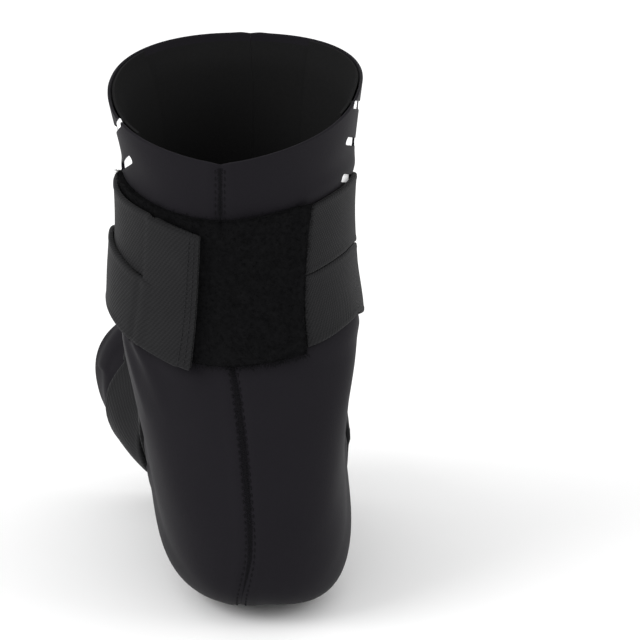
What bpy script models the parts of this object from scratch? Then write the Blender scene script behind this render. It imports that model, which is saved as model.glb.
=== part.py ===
"""Ankle compression sleeve, in its worn form.

A tube of sleeve cloth bends from the leg into the foot, open at the leg and at the toes.
Two pairs of elastic bands run from under the arch, cross over the instep and meet on a
pile panel at the back of the leg. Metres, +Z up the leg, toes toward -Y, origin in the
middle of the ankle.
"""

import math

import bmesh
import bpy
import numpy as np

# Driving sizes of the sleeve
SLEEVE_HEIGHT = 0.189       # sole to the highest point of the leg rim
FOOT_LENGTH = 0.141         # back of the heel to the front of the toe rim
LEG_WIDTH = 0.0856          # across the leg rim
ANKLE_HEIGHT = 0.080        # sole to the origin
ANKLE_FORWARD = 0.055       # back of the heel to the origin
CLOTH = 0.0025              # wall of the sleeve
RIM_BACK_DIP = 0.011        # dip of the leg rim at the back seam
RIM_FRONT_DIP = 0.0006      # notch of the leg rim at the front seam
RIM_BACK_SPREAD = 82.0      # degrees each way over which the back dip fades
RIM_FRONT_SPREAD = 10.0     # the same for the front notch
SEAM_WIDTH = 0.005          # flat seam between the two panels
SEAM_GAP = 0.0003           # between a seam and the panels beside it
CLEARANCE = 0.0007          # between layers that lie on each other

# Driving sizes of the bands and the patches
BAND_WIDTH = 0.0235
BAND_THICKNESS = 0.0012
BAND_STANDOFF = 0.0025      # how far a loose stretch of band can stand off the cloth
PILE_HEIGHT = 0.052
PILE_THICKNESS = 0.0012
HOOK_LENGTH = 0.017         # along the bands
HOOK_THICKNESS = 0.0007
ANCHOR_WIDTH = 0.026        # across the sole
ANCHOR_THICKNESS = 0.0010

# Driving sizes of the vents
SLOT_WIDTH = 0.0030
VENT_TOP_LEFT = 0.0190      # leg rim to the first row's dot, down the +X side
VENT_TOP_RIGHT = 0.0140     # the same on the -X side
VENT_PITCH = 0.0132         # between the rows of slots
VENT_ROWS = 6
FRONT_SLOT = 0.0210         # length of a row's front slot
BACK_SLOT = 0.0240          # length of a row's back slot
SLOT_SPACE = 0.0030         # clear cloth between a dot and its slots
ARCH_SLOT = 0.0085
ARCH_PITCH = 0.0115
ARCH_ROWS = 4
ARCH_SLOPE = 20.0           # degrees by which an arch slot turns from straight across
BACKING_THICKNESS = 0.0008
BACKING_MARGIN = 0.0040     # backing past the outermost slots
BACKING_DROP = 0.0012       # leg rim to the top of a backing

# Sections of the sleeve from the leg rim to the toe rim. Each is a closed oval between a
# front and a back point. Y and Z are shares of FOOT_LENGTH and SLEEVE_HEIGHT, from the
# heel's back and from the sole. Widths and sideways shifts are shares of LEG_WIDTH.
# squareness is the oval's exponent, and turn is its twist in degrees.
SECTION_COLUMNS = ("front_y", "front_z", "back_y", "back_z", "half_width", "squareness",
                   "front_x", "back_x", "turn")
SECTIONS = (
    (0.64, 1.000, 0.04, 0.930, 0.500, 2.2, -0.02, 0.01, 0.0),
    (0.64, 0.870, 0.06, 0.815, 0.460, 2.0, -0.03, 0.01, 0.0),
    (0.64, 0.750, 0.08, 0.700, 0.446, 2.0, -0.02, 0.01, 0.0),
    (0.65, 0.650, 0.09, 0.570, 0.460, 2.1, 0.00, 0.00, 0.0),
    (0.67, 0.570, 0.06, 0.435, 0.478, 2.2, 0.03, -0.05, 0.0),
    (0.72, 0.518, 0.02, 0.298, 0.445, 2.3, 0.08, -0.10, 1.0),
    (0.76, 0.482, 0.00, 0.164, 0.428, 2.6, 0.11, -0.12, 5.0),
    (0.80, 0.455, 0.04, 0.056, 0.432, 2.9, 0.12, -0.13, 10.0),
    (0.84, 0.434, 0.18, 0.012, 0.438, 2.9, 0.13, -0.12, 10.0),
    (0.88, 0.418, 0.37, 0.012, 0.408, 2.5, 0.16, -0.09, 5.0),
    (0.92, 0.403, 0.56, 0.035, 0.410, 2.4, 0.21, 0.01, 1.0),
    (0.96, 0.391, 0.75, 0.052, 0.450, 2.3, 0.27, 0.10, 0.0),
    (1.00, 0.381, 0.94, 0.058, 0.500, 2.2, 0.31, 0.16, 0.0),
)
TOE_RIM = len(SECTIONS) - 1
DIP_FADE = 3.0              # sections over which the rim's dips fade out

# Routes of the bands and patches over the sleeve. angle is degrees round the sleeve from
# the back seam toward +X, and section is a place in SECTIONS. spread is the distance
# between the middles of a pair's two bands, as a share of BAND_WIDTH. slant is the angle
# in degrees by which the line across a band leans on along the route, such as where its
# end is cut upright. The last four columns lift the layer off the cloth, each as
# a share of what it names: the pile, the hook patch and a band with their clearance, and
# BAND_STANDOFF.
ROUTE_COLUMNS = ("angle", "section", "spread", "slant", "on_pile", "on_hook", "on_band", "loose")
# Pair A runs from the pile panel round the -X side, over the instep and down the +X side.
PAIR_A_ROUTE = (
    (316, 2.43, 1.03, -10.0, 0.0, 0.0, 0.0, 0.0),
    (295, 2.42, 1.03, -4.0, 0.0, 0.0, 0.0, 0.0),
    (270, 2.55, 1.03, 0.0, 0.0, 0.0, 0.0, 0.0),
    (240, 3.10, 1.03, 0.0, 0.0, 0.0, 0.4, 0.0),
    (210, 3.95, 1.03, 0.0, 0.0, 0.0, 1.0, 0.0),
    (180, 4.95, 1.03, 0.0, 0.0, 0.0, 1.1, 0.0),
    (160, 5.75, 1.05, 0.0, 0.0, 0.0, 1.1, 0.0),
    (140, 6.80, 1.08, 0.0, 0.0, 0.0, 1.0, 0.0),
    (120, 8.05, 1.16, 0.0, 0.0, 0.0, 0.5, 0.3),
    (100, 9.25, 1.26, 0.0, 0.0, 0.0, 0.0, 0.7),
    (80, 10.00, 1.36, 0.0, 0.0, 0.0, 0.0, 0.5),
    (60, 10.35, 1.44, 0.0, 0.0, 0.0, 0.0, 0.2),
    (35, 10.60, 1.48, 0.0, 0.0, 0.0, 0.0, 0.0),
    (9, 10.70, 1.48, 0.0, 0.0, 0.0, 0.0, 0.0),
)
# Pair B runs from its free end on the pile panel round the +X side, over the instep
# under pair A, and down the -X side.
PAIR_B_ROUTE = (
    (10, 2.62, 1.03, 13.0, 1.0, 1.0, 0.0, 0.0),
    (26, 2.52, 1.03, 10.0, 1.0, 1.0, 0.0, 0.0),
    (42, 2.44, 1.00, 4.0, 1.0, 0.7, 0.0, 0.0),
    (64, 2.39, 0.88, 0.0, 1.0, 0.2, 0.0, 0.0),
    (88, 2.45, 0.83, 0.0, 0.6, 0.0, 0.0, 0.0),
    (112, 2.84, 1.03, 0.0, 0.0, 0.0, 0.0, 0.0),
    (145, 3.85, 1.03, 0.0, 0.0, 0.0, 0.0, 0.0),
    (180, 4.95, 1.03, 0.0, 0.0, 0.0, 0.0, 0.0),
    (200, 5.75, 1.05, 0.0, 0.0, 0.0, 0.0, 0.0),
    (220, 6.90, 1.06, 0.0, 0.0, 0.0, 0.0, 0.0),
    (240, 8.30, 1.10, 0.0, 0.0, 0.0, 0.0, 0.0),
    (260, 9.50, 1.20, 0.0, 0.0, 0.0, 0.0, 0.0),
    (280, 10.15, 1.32, 0.0, 0.0, 0.0, 0.0, 0.1),
    (300, 10.45, 1.42, 0.0, 0.0, 0.0, 0.0, 0.1),
    (325, 10.60, 1.48, 0.0, 0.0, 0.0, 0.0, 0.0),
    (351, 10.70, 1.48, 0.0, 0.0, 0.0, 0.0, 0.0),
)
# The pile panel starts where pair A ends and runs on under the free end of pair B.
PILE_ROUTE = (
    (-42, 2.43, 0.0, -10.0, 0.0, 0.0, 0.0, 0.0),
    (0, 2.46, 0.0, 0.0, 0.0, 0.0, 0.0, 0.0),
    (35, 2.42, 0.0, 0.0, 0.0, 0.0, 0.0, 0.0),
    (78, 2.36, 0.0, 0.0, 0.0, 0.0, 0.0, 0.0),
)
# The anchor runs along the sole over the ends of all four bands.
ANCHOR_ROUTE = (
    (0, 9.55, 0.0, 0.0, 0.0, 0.0, 1.0, 0.0),
    (0, 10.70, 0.0, 0.0, 0.0, 0.0, 1.0, 0.0),
    (0, 11.85, 0.0, 0.0, 0.0, 0.0, 1.0, 0.0),
)
OVERLAP_SPREAD = 1.0        # spread under which a pair's lower band lies on its upper one
OVERLAP_FADE = 0.03         # spread over which it climbs there

# Each row of vents has a dot, with a slot toward the front and one toward the back. angle
# is where the dots stand, and the slopes are the degrees by which a slot climbs away from
# its dot. The key is the sign of X.
VENT_SIDES = {
    1: {"angle": 88.0, "top": VENT_TOP_LEFT, "front_slope": 27.0, "back_slope": 26.0},
    -1: {"angle": 109.0, "top": VENT_TOP_RIGHT, "front_slope": 18.0, "back_slope": 19.0},
}
ARCH_ANGLE = 82.0           # where the arch slots start, in the gap between the bands

# How fine the meshes are
PANEL_COLUMNS = 16          # facets round one panel
PANEL_ROWS = 32             # facets along the sleeve
STATION = 0.0058            # length of one facet along a band or a seam
ROUTE_SAMPLES = 240
MARCH_STEPS = 8
ROUND_STEPS = 3             # facets on the round end of a slot
DERIVATIVE_STEP = 0.001


def catmull_rom(place, rows):
    """Read a smooth curve through rows, one row for each whole step of place."""
    place = np.asarray(place, float)
    low = np.clip(np.floor(place).astype(int), 0, len(rows) - 2)
    t = (place - low)[..., None]
    here, there = rows[low], rows[low + 1]
    has_before = (low > 0)[..., None]
    before = np.where(has_before, rows[np.maximum(low - 1, 0)], 2 * here - there)
    has_after = (low < len(rows) - 2)[..., None]
    after = np.where(has_after, rows[np.minimum(low + 2, len(rows) - 1)], 2 * there - here)
    cubic = 3 * (here - there) + after - before
    square = 2 * before - 5 * here + 4 * there - after
    return here + 0.5 * t * (there - before + t * (square + t * cubic))


def section_lengths():
    """Turn the shares in SECTIONS into metres, column by column."""
    units = {"front_y": FOOT_LENGTH, "back_y": FOOT_LENGTH, "front_z": SLEEVE_HEIGHT,
             "back_z": SLEEVE_HEIGHT, "half_width": LEG_WIDTH, "front_x": LEG_WIDTH,
             "back_x": LEG_WIDTH}
    return np.array(SECTIONS, float) * [units.get(name, 1.0) for name in SECTION_COLUMNS]


SECTION_TABLE = section_lengths()


def rim_dip(angle):
    """Depth of the V in the leg rim at the back, and of the notch at the front."""
    from_back = np.abs((angle + 180.0) % 360.0 - 180.0)
    back = np.clip(1.0 - from_back / RIM_BACK_SPREAD, 0.0, 1.0)
    front = np.clip(1.0 - (180.0 - from_back) / RIM_FRONT_SPREAD, 0.0, 1.0)
    return RIM_BACK_DIP * back + RIM_FRONT_DIP * front


def surface(section, angle):
    """Outer surface of the sleeve at a section and an angle, as points in metres."""
    section, angle = np.broadcast_arrays(np.asarray(section, float), np.asarray(angle, float))
    columns = np.moveaxis(catmull_rom(section, SECTION_TABLE), -1, 0)
    oval = dict(zip(SECTION_COLUMNS, columns))
    turned = np.radians(angle + oval["turn"])
    cosine, sine = np.cos(turned), np.sin(turned)
    power = oval["squareness"]
    radius = (np.abs(cosine) ** power + np.abs(sine) ** power) ** (-1.0 / power)
    toward_back = (1.0 + cosine * radius) / 2.0

    def between(front, back):
        return oval[front] + (oval[back] - oval[front]) * toward_back

    x = oval["half_width"] * sine * radius + between("front_x", "back_x")
    y = ANKLE_FORWARD - between("front_y", "back_y")
    dip = rim_dip(angle) * np.clip(1.0 - section / DIP_FADE, 0.0, 1.0)
    z = between("front_z", "back_z") - dip - ANKLE_HEIGHT
    return np.stack([x, y, z], -1)


def slopes(section, angle):
    """Change of the surface point for each section and for each degree."""
    step = DERIVATIVE_STEP
    per_section = (surface(section + step, angle) - surface(section - step, angle)) / (2 * step)
    wide = 100 * step
    per_degree = (surface(section, angle + wide) - surface(section, angle - wide)) / (2 * wide)
    return per_section, per_degree


def unit(vectors):
    """Scale vectors to length one."""
    return vectors / np.linalg.norm(vectors, axis=-1, keepdims=True)


def outward(section, angle):
    """Unit normal of the surface, away from the leg."""
    per_section, per_degree = slopes(section, angle)
    return unit(np.cross(per_degree, per_section))


def walk(section, angle, heading, distance):
    """Walk straight over the surface and return the section and angle arrived at."""
    section, angle = np.array(section, float), np.array(angle, float)
    step = np.asarray(distance, float) / MARCH_STEPS
    for _ in range(MARCH_STEPS):
        per_section, per_degree = slopes(section, angle)
        normal = unit(np.cross(per_degree, per_section))
        heading = unit(heading - normal * np.sum(heading * normal, -1, keepdims=True))
        frame = np.stack([per_section, per_degree], -1)
        move = np.linalg.pinv(frame) @ (heading * step[..., None])[..., None]
        section = section + move[..., 0, 0]
        angle = angle + move[..., 1, 0]
    return section, angle


class Route:
    """A line over the sleeve, read at even stations, with its layer's lift."""

    def __init__(self, rows, start=0.0, end=None):
        """Read the rows between two distances from the line's start, in metres."""
        place = np.linspace(0, len(rows) - 1, ROUTE_SAMPLES)
        table = catmull_rom(place, np.array(rows, float))
        points = surface(table[:, 1], table[:, 0])
        steps = np.linalg.norm(np.diff(points, axis=0), axis=1)
        along = np.concatenate([[0.0], np.cumsum(steps)])
        end = along[-1] if end is None else end
        count = max(2, round((end - start) / STATION))
        at = np.linspace(start, end, count + 1)
        read = {name: np.interp(at, along, column)
                for name, column in zip(ROUTE_COLUMNS, table.T)}
        self.angle, self.section = read["angle"], read["section"]
        self.spread = read["spread"]
        self.lift = (CLEARANCE
                     + read["on_pile"] * (PILE_THICKNESS + CLEARANCE)
                     + read["on_hook"] * (HOOK_THICKNESS + CLEARANCE)
                     + read["on_band"] * (BAND_THICKNESS + CLEARANCE)
                     + read["loose"] * BAND_STANDOFF)
        self.slant = np.radians(read["slant"])
        self.ahead = unit(np.gradient(surface(self.section, self.angle), axis=0))
        self.side = unit(np.cross(self.ahead, outward(self.section, self.angle)))

    def beside(self, offsets):
        """Places at offsets to one side of the line, one column for each offset."""
        lean = self.side + self.ahead * np.tan(self.slant)[:, None]
        reach = offsets / np.cos(self.slant)[:, None]
        walked = [walk(self.section, self.angle, lean, column) for column in reach.T]
        return np.stack([w[0] for w in walked], 1), np.stack([w[1] for w in walked], 1)


def make_material(name, colour, roughness):
    """Plain Principled material for one piece."""
    material = bpy.data.materials.new(name)
    material.use_nodes = True
    shader = material.node_tree.nodes["Principled BSDF"]
    shader.inputs["Base Color"].default_value = (*colour, 1.0)
    shader.inputs["Roughness"].default_value = roughness
    shader.inputs["Metallic"].default_value = 0.0
    material.diffuse_color = (*colour, 1.0)
    return material


def add_object(name, mesh, colour, roughness):
    """Put a mesh in the scene as one named piece with its own material."""
    piece = bpy.data.objects.new(name, mesh)
    bpy.context.scene.collection.objects.link(piece)
    mesh.materials.append(make_material(name + "_finish", colour, roughness))
    mesh.shade_smooth()
    mesh.set_sharp_from_angle(angle=math.radians(40))
    return piece


def sheet_object(name, front, back, colour, roughness):
    """Close two grids of points, the front one facing outward, into one solid sheet."""
    rows, columns = front.shape[:2]
    index = np.arange(rows * columns).reshape(rows, columns)
    quads = np.stack([index[:-1, :-1], index[:-1, 1:], index[1:, 1:], index[1:, :-1]], -1)
    quads = quads.reshape(-1, 4)
    edge = np.concatenate([index[:-1, 0], index[-1, :-1], index[:0:-1, -1], index[0, :0:-1]])
    ahead = np.roll(edge, -1)
    depth = rows * columns
    sides = np.stack([edge, edge + depth, ahead + depth, ahead], -1)
    faces = np.concatenate([quads[:, ::-1], quads + depth, sides[:, ::-1]])
    shapes = bmesh.new()
    corners = [shapes.verts.new(point) for point in (*front.reshape(-1, 3), *back.reshape(-1, 3))]
    for face in faces:
        shapes.faces.new([corners[k] for k in face])
    bmesh.ops.recalc_face_normals(shapes, faces=shapes.faces)
    mesh = bpy.data.meshes.new(name)
    shapes.to_mesh(mesh)
    shapes.free()
    return add_object(name, mesh, colour, roughness)


def layer_object(name, section, angle, lift, thickness, colour, roughness):
    """A sheet that follows the sleeve, its inner face at a lift off the outer surface."""
    points, normal = surface(section, angle), outward(section, angle)
    inner = points + normal * lift
    return sheet_object(name, inner + normal * thickness, inner, colour, roughness)


def strip_object(name, route, middle, width, columns, thickness, colour, roughness):
    """A strip beside a route, lying on the sleeve at the route's lift."""
    across = np.linspace(-0.5, 0.5, columns + 1) * width
    offsets = np.asarray(middle)[:, None] + across[None, :]
    section, angle = route.beside(offsets)
    lift = route.lift[:, None, None]
    return layer_object(name, section, angle, lift, thickness, colour, roughness)


def seam_half_angle(section, middle_angle):
    """Degrees from a seam's middle to the edge of the panel beside it."""
    _, per_degree = slopes(section, middle_angle)
    return (SEAM_WIDTH / 2 + SEAM_GAP) / np.linalg.norm(per_degree, axis=-1)


def panel_object(name, back_angle, front_angle, colour, roughness):
    """One side of the sleeve, between the back seam and the front seam."""
    section = np.linspace(0.0, TOE_RIM, PANEL_ROWS + 1)[:, None]
    toward_front = math.copysign(1.0, front_angle - back_angle)
    start = back_angle + toward_front * seam_half_angle(section, back_angle)
    end = front_angle - toward_front * seam_half_angle(section, front_angle)
    angle = start + (end - start) * np.linspace(0.0, 1.0, PANEL_COLUMNS + 1)[None, :]
    return layer_object(name, section, angle, -CLOTH, CLOTH, colour, roughness)


def seam_object(name, middle_angle, colour, roughness):
    """The flat seam that joins the two panels, flush with them."""
    section = np.linspace(0.0, TOE_RIM, PANEL_ROWS + 1)[:, None]
    _, per_degree = slopes(section, middle_angle)
    half = SEAM_WIDTH / 2 / np.linalg.norm(per_degree, axis=-1)
    angle = middle_angle + half * np.array([[-1.0, 1.0]])
    return layer_object(name, section, angle, -CLOTH, CLOTH, colour, roughness)


def slot_outline(length):
    """Outline of a slot with round ends, along X, its middle at the origin."""
    radius = SLOT_WIDTH / 2
    reach = max(length / 2 - radius, 0.0)
    turn = np.linspace(-math.pi / 2, math.pi / 2, ROUND_STEPS + 1)
    if reach == 0.0:
        turn = turn[:-1]
    end = np.stack([reach + radius * np.cos(turn), radius * np.sin(turn)], 1)
    return np.concatenate([end, -end])


def add_slot(shapes, section, angle, heading, length):
    """Add one slot's cutter to a bmesh, through the cloth at a place on the sleeve."""
    normal = outward(section, angle)
    along = unit(heading - normal * (heading @ normal))
    across = np.cross(normal, along)
    middle = surface(section, angle)
    outline = slot_outline(length)
    rings = []
    for depth in (-3.0 * CLOTH, 2.0 * CLOTH):
        ring = [shapes.verts.new(middle + along * u + across * v + normal * depth)
                for u, v in outline]
        rings.append(ring)
    count = len(outline)
    shapes.faces.new(rings[0][::-1])
    shapes.faces.new(rings[1])
    for i in range(count):
        j = (i + 1) % count
        shapes.faces.new((rings[0][i], rings[0][j], rings[1][j], rings[1][i]))


def slot_place(section, angle, heading, length):
    """Middle of a slot whose near end lies SLOT_SPACE from a dot's edge."""
    reach = SLOT_WIDTH / 2 + SLOT_SPACE + length / 2
    return walk(section, angle, heading, reach)


def vent_slots(side):
    """Every slot of one leg side, as its section, angle, heading and length."""
    own = VENT_SIDES[side]
    section, angle = 0.0, own["angle"] * side % 360.0
    slots = []
    for row in range(VENT_ROWS):
        down, _ = slopes(section, angle)
        step = own["top"] if row == 0 else VENT_PITCH
        section, _ = walk(section, angle, unit(down), step)
        _, per_degree = slopes(section, angle)
        to_back = unit(per_degree) * -side
        up = np.cross(outward(section, angle), to_back) * side
        slots.append((section, angle, to_back, SLOT_WIDTH))
        for level, slope, length in ((-to_back, own["front_slope"], FRONT_SLOT),
                                     (to_back, own["back_slope"], BACK_SLOT)):
            tilt = math.radians(slope)
            heading = level * math.cos(tilt) + up * math.sin(tilt)
            middle = slot_place(section, angle, heading, length)
            slots.append((*middle, heading, length))
    return slots


def arch_slots(route, side):
    """Slots across the gap between a pair's two bands, on the side of the arch."""
    angles = np.degrees(np.unwrap(np.radians(route.angle)))
    start = ARCH_ANGLE if side > 0 else 360.0 - ARCH_ANGLE
    first = np.argmin(np.abs(angles - start))
    slots = []
    for row in range(ARCH_ROWS):
        at = min(first + row * ARCH_PITCH / STATION, len(angles) - 1.0)
        station = np.arange(len(angles))
        section = np.interp(at, station, route.section)
        angle = np.interp(at, station, angles)
        across = np.array([np.interp(at, station, route.side[:, k]) for k in range(3)])
        along = np.cross(outward(section, angle), across)
        tilt = math.radians(ARCH_SLOPE) * side
        heading = across * math.cos(tilt) + along * math.sin(tilt)
        slots.append((section, angle, unit(heading), ARCH_SLOT))
    return slots


def cut_slots(panel, slots):
    """Cut the slots through a panel."""
    shapes = bmesh.new()
    for section, angle, heading, length in slots:
        add_slot(shapes, section, angle, heading, length)
    bmesh.ops.recalc_face_normals(shapes, faces=shapes.faces)
    mesh = bpy.data.meshes.new(panel.name + "_cutter")
    shapes.to_mesh(mesh)
    shapes.free()
    cutter = bpy.data.objects.new(panel.name + "_cutter", mesh)
    bpy.context.scene.collection.objects.link(cutter)
    cutter.hide_render = True
    cutter.display_type = "WIRE"
    cut = panel.modifiers.new("slots", "BOOLEAN")
    cut.operation = "DIFFERENCE"
    cut.solver = "EXACT"
    cut.object = cutter


def backing_object(name, slots, columns, rows, colour, roughness):
    """Thin sheet inside the sleeve, behind a field of slots."""
    reach = []
    for section, angle, heading, length in slots:
        for way in (-1.0, 1.0):
            reach.append(walk(section, angle, heading * way, length / 2 + BACKING_MARGIN))
    section, angle = np.array(reach).T
    rim_slope, _ = slopes(0.0, angle.mean())
    top = max(section.min(), BACKING_DROP / np.linalg.norm(rim_slope))
    grid_section = np.linspace(top, section.max(), rows + 1)[:, None]
    grid_angle = np.linspace(angle.min(), angle.max(), columns + 1)[None, :]
    lift = -(CLOTH + CLEARANCE + BACKING_THICKNESS)
    return layer_object(name, grid_section, grid_angle, lift, BACKING_THICKNESS, colour,
                        roughness)


CLOTH_BLACK = (0.022, 0.020, 0.023)
BAND_BLACK = (0.028, 0.028, 0.030)
PILE_BLACK = (0.008, 0.008, 0.009)
BACKING_WHITE = (0.85, 0.85, 0.86)


def build_sleeve(pairs):
    """Both panels with their slots, the two seams and the backings of the vents."""
    for side, word, front in ((1, "left", 180.0), (-1, "right", -180.0)):
        panel = panel_object("sleeve_panel_" + word, 0.0, front, CLOTH_BLACK, 0.85)
        leg = vent_slots(side)
        arch = arch_slots(pairs[side], side)
        cut_slots(panel, leg + arch)
        backing_object("vent_backing_" + word, leg, 5, 9, BACKING_WHITE, 0.7)
        backing_object("arch_backing_" + word, arch, 5, 3, BACKING_WHITE, 0.7)
    seam_object("back_seam", 0.0, CLOTH_BLACK, 0.85)
    seam_object("front_seam", 180.0, CLOTH_BLACK, 0.85)


def build_pair(letter, route, upward):
    """The two bands of one pair. upward is 1 where the route's side points up the leg.

    Where the spread is under OVERLAP_SPREAD the lower band rides on the upper one.
    """
    middle = route.spread * BAND_WIDTH / 2
    strip_object(f"strap_{letter}_upper", route, middle * upward, BAND_WIDTH, 3,
                 BAND_THICKNESS, BAND_BLACK, 0.8)
    ride = np.clip((OVERLAP_SPREAD - route.spread) / OVERLAP_FADE + 1.0, 0.0, 1.0)
    route.lift = route.lift + ride * (BAND_THICKNESS + CLEARANCE)
    strip_object(f"strap_{letter}_lower", route, -middle * upward, BAND_WIDTH, 3,
                 BAND_THICKNESS, BAND_BLACK, 0.8)


def build_patches():
    """The pile panel, the hook patch under pair B's end and the anchor on the sole."""
    pile = Route(PILE_ROUTE)
    strip_object("loop_panel", pile, 0.0 * pile.spread, PILE_HEIGHT, 6, PILE_THICKNESS,
                 PILE_BLACK, 0.95)
    hook = Route(PAIR_B_ROUTE, 0.0, HOOK_LENGTH)
    hook.lift = hook.lift - HOOK_THICKNESS - CLEARANCE
    strip_object("hook_patch", hook, 0.0 * hook.spread, 2 * BAND_WIDTH, 6, HOOK_THICKNESS,
                 BAND_BLACK, 0.9)
    anchor = Route(ANCHOR_ROUTE)
    strip_object("sole_anchor", anchor, 0.0 * anchor.spread, ANCHOR_WIDTH, 4,
                 ANCHOR_THICKNESS, BAND_BLACK, 0.85)


def main():
    """Build the whole sleeve in an empty scene."""
    for piece in list(bpy.data.objects):
        bpy.data.objects.remove(piece, do_unlink=True)
    route_a, route_b = Route(PAIR_A_ROUTE), Route(PAIR_B_ROUTE)
    build_sleeve({1: route_a, -1: route_b})
    build_pair("a", route_a, -1.0)
    build_pair("b", route_b, 1.0)
    build_patches()


main()
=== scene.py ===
"""Finished surfaces of an ankle compression sleeve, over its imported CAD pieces.

The sleeve's outer surface is a fan of ovals from the leg rim to the toe rim. Everything
else lies on that surface: elastic bands, pile, patches, seams and stitches are given as
distances over the cloth and heights off it. Metres, +Z up the leg, toes toward -Y.
"""

import logging
import math
from dataclasses import dataclass, field
from enum import Enum

import bmesh
import bpy
import numpy as np
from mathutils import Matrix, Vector


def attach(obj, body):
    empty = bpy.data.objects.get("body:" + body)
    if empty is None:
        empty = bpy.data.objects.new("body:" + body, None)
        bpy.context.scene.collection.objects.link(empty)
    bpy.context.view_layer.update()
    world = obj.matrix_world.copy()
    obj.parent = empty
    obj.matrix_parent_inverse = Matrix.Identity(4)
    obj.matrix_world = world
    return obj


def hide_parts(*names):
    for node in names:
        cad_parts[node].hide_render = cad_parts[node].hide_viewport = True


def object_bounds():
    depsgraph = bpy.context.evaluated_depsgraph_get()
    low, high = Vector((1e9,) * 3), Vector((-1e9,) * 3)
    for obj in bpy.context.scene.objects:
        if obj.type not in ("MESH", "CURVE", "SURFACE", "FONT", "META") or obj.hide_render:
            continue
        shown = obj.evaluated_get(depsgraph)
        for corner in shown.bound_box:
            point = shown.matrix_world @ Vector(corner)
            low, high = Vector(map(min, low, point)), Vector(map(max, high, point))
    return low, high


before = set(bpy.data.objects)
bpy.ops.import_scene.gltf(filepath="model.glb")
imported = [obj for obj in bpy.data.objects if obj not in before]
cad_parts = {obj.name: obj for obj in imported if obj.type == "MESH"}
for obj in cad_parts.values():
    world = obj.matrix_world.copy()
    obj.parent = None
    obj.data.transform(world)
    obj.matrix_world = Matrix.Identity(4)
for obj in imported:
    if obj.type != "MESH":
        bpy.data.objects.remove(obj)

CAD_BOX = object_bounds()
LOG = logging.getLogger("sleeve")

Array = np.ndarray


class Side(Enum):
    """Half of the sleeve, by the sign of X."""

    LEFT = 1
    RIGHT = -1

    @property
    def word(self) -> str:
        """The side's word in node names."""
        return self.name.lower()


SECTION_COLUMNS = ("front_y", "front_z", "back_y", "back_z", "half_width", "squareness",
                   "front_x", "back_x", "turn")
# Ovals from the leg rim to the toe rim. Y and Z are shares of the foot's length and the
# sleeve's height, from the heel's back and the sole. Widths and shifts are shares of the
# leg's width. squareness is the oval's exponent, and turn is its twist in degrees. The
# rows of the leg rim, the instep, the heel and the arch are fitted closer to the
# photograph than the CAD's: by millimetres, at most 6 of them at the arch.
SECTIONS = (
    (0.64, 1.003, 0.04, 0.930, 0.500, 2.25, -0.015, 0.005, 0.0),
    (0.64, 0.870, 0.06, 0.815, 0.460, 2.0, -0.03, 0.01, 0.0),
    (0.64, 0.750, 0.08, 0.700, 0.446, 2.0, -0.02, 0.01, 0.0),
    (0.65, 0.650, 0.09, 0.570, 0.460, 2.1, 0.00, 0.00, 0.0),
    (0.67, 0.570, 0.06, 0.435, 0.478, 2.2, 0.03, -0.05, 0.0),
    (0.72, 0.518, 0.02, 0.298, 0.442, 2.3, 0.09, -0.095, 1.0),
    (0.76, 0.482, 0.00, 0.164, 0.410, 2.4, 0.11, -0.127, 3.0),
    (0.80, 0.455, 0.04, 0.062, 0.398, 2.8, 0.09, -0.135, 10.0),
    (0.84, 0.434, 0.18, 0.012, 0.418, 3.3, 0.10, -0.115, 9.0),
    (0.88, 0.418, 0.37, 0.012, 0.390, 2.4, 0.15, -0.10, 3.0),
    (0.92, 0.403, 0.56, 0.035, 0.375, 2.1, 0.175, -0.015, 3.0),
    (0.96, 0.391, 0.75, 0.052, 0.450, 2.3, 0.27, 0.10, 0.0),
    (1.00, 0.381, 0.94, 0.058, 0.500, 2.2, 0.31, 0.16, 0.0),
)
TOE_RIM = len(SECTIONS) - 1

ROUTE_COLUMNS = ("angle", "section", "spread", "slant", "on_pile", "on_hook", "on_band", "loose")
# Pair A runs from the pile panel round the -X side, over the instep and down the +X side.
PAIR_A_ROUTE = (
    (318.5, 2.43, 1.03, -11.0, 0.0, 0.0, 0.0, 0.0),
    (295, 2.42, 1.03, -4.0, 0.0, 0.0, 0.0, 0.0),
    (270, 2.55, 1.03, 0.0, 0.0, 0.0, 0.0, 0.0),
    (240, 3.10, 1.03, 0.0, 0.0, 0.0, 0.4, 0.0),
    (210, 3.95, 1.03, 0.0, 0.0, 0.0, 1.0, 0.0),
    (180, 4.95, 1.03, 0.0, 0.0, 0.0, 1.1, 0.0),
    (160, 5.75, 1.05, 0.0, 0.0, 0.0, 1.1, 0.0),
    (140, 6.80, 1.08, 0.0, 0.0, 0.0, 1.0, 0.0),
    (120, 8.05, 1.16, 0.0, 0.0, 0.0, 0.5, 0.2),
    (100, 9.25, 1.20, 0.0, 0.0, 0.0, 0.0, 0.2),
    (80, 10.00, 1.32, 0.0, 0.0, 0.0, 0.0, 0.1),
    (60, 10.35, 1.44, 0.0, 0.0, 0.0, 0.0, 0.1),
    (35, 10.60, 1.48, 0.0, 0.0, 0.0, 0.0, 0.0),
    (9, 10.70, 1.48, 0.0, 0.0, 0.0, 0.0, 0.0),
)
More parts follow.
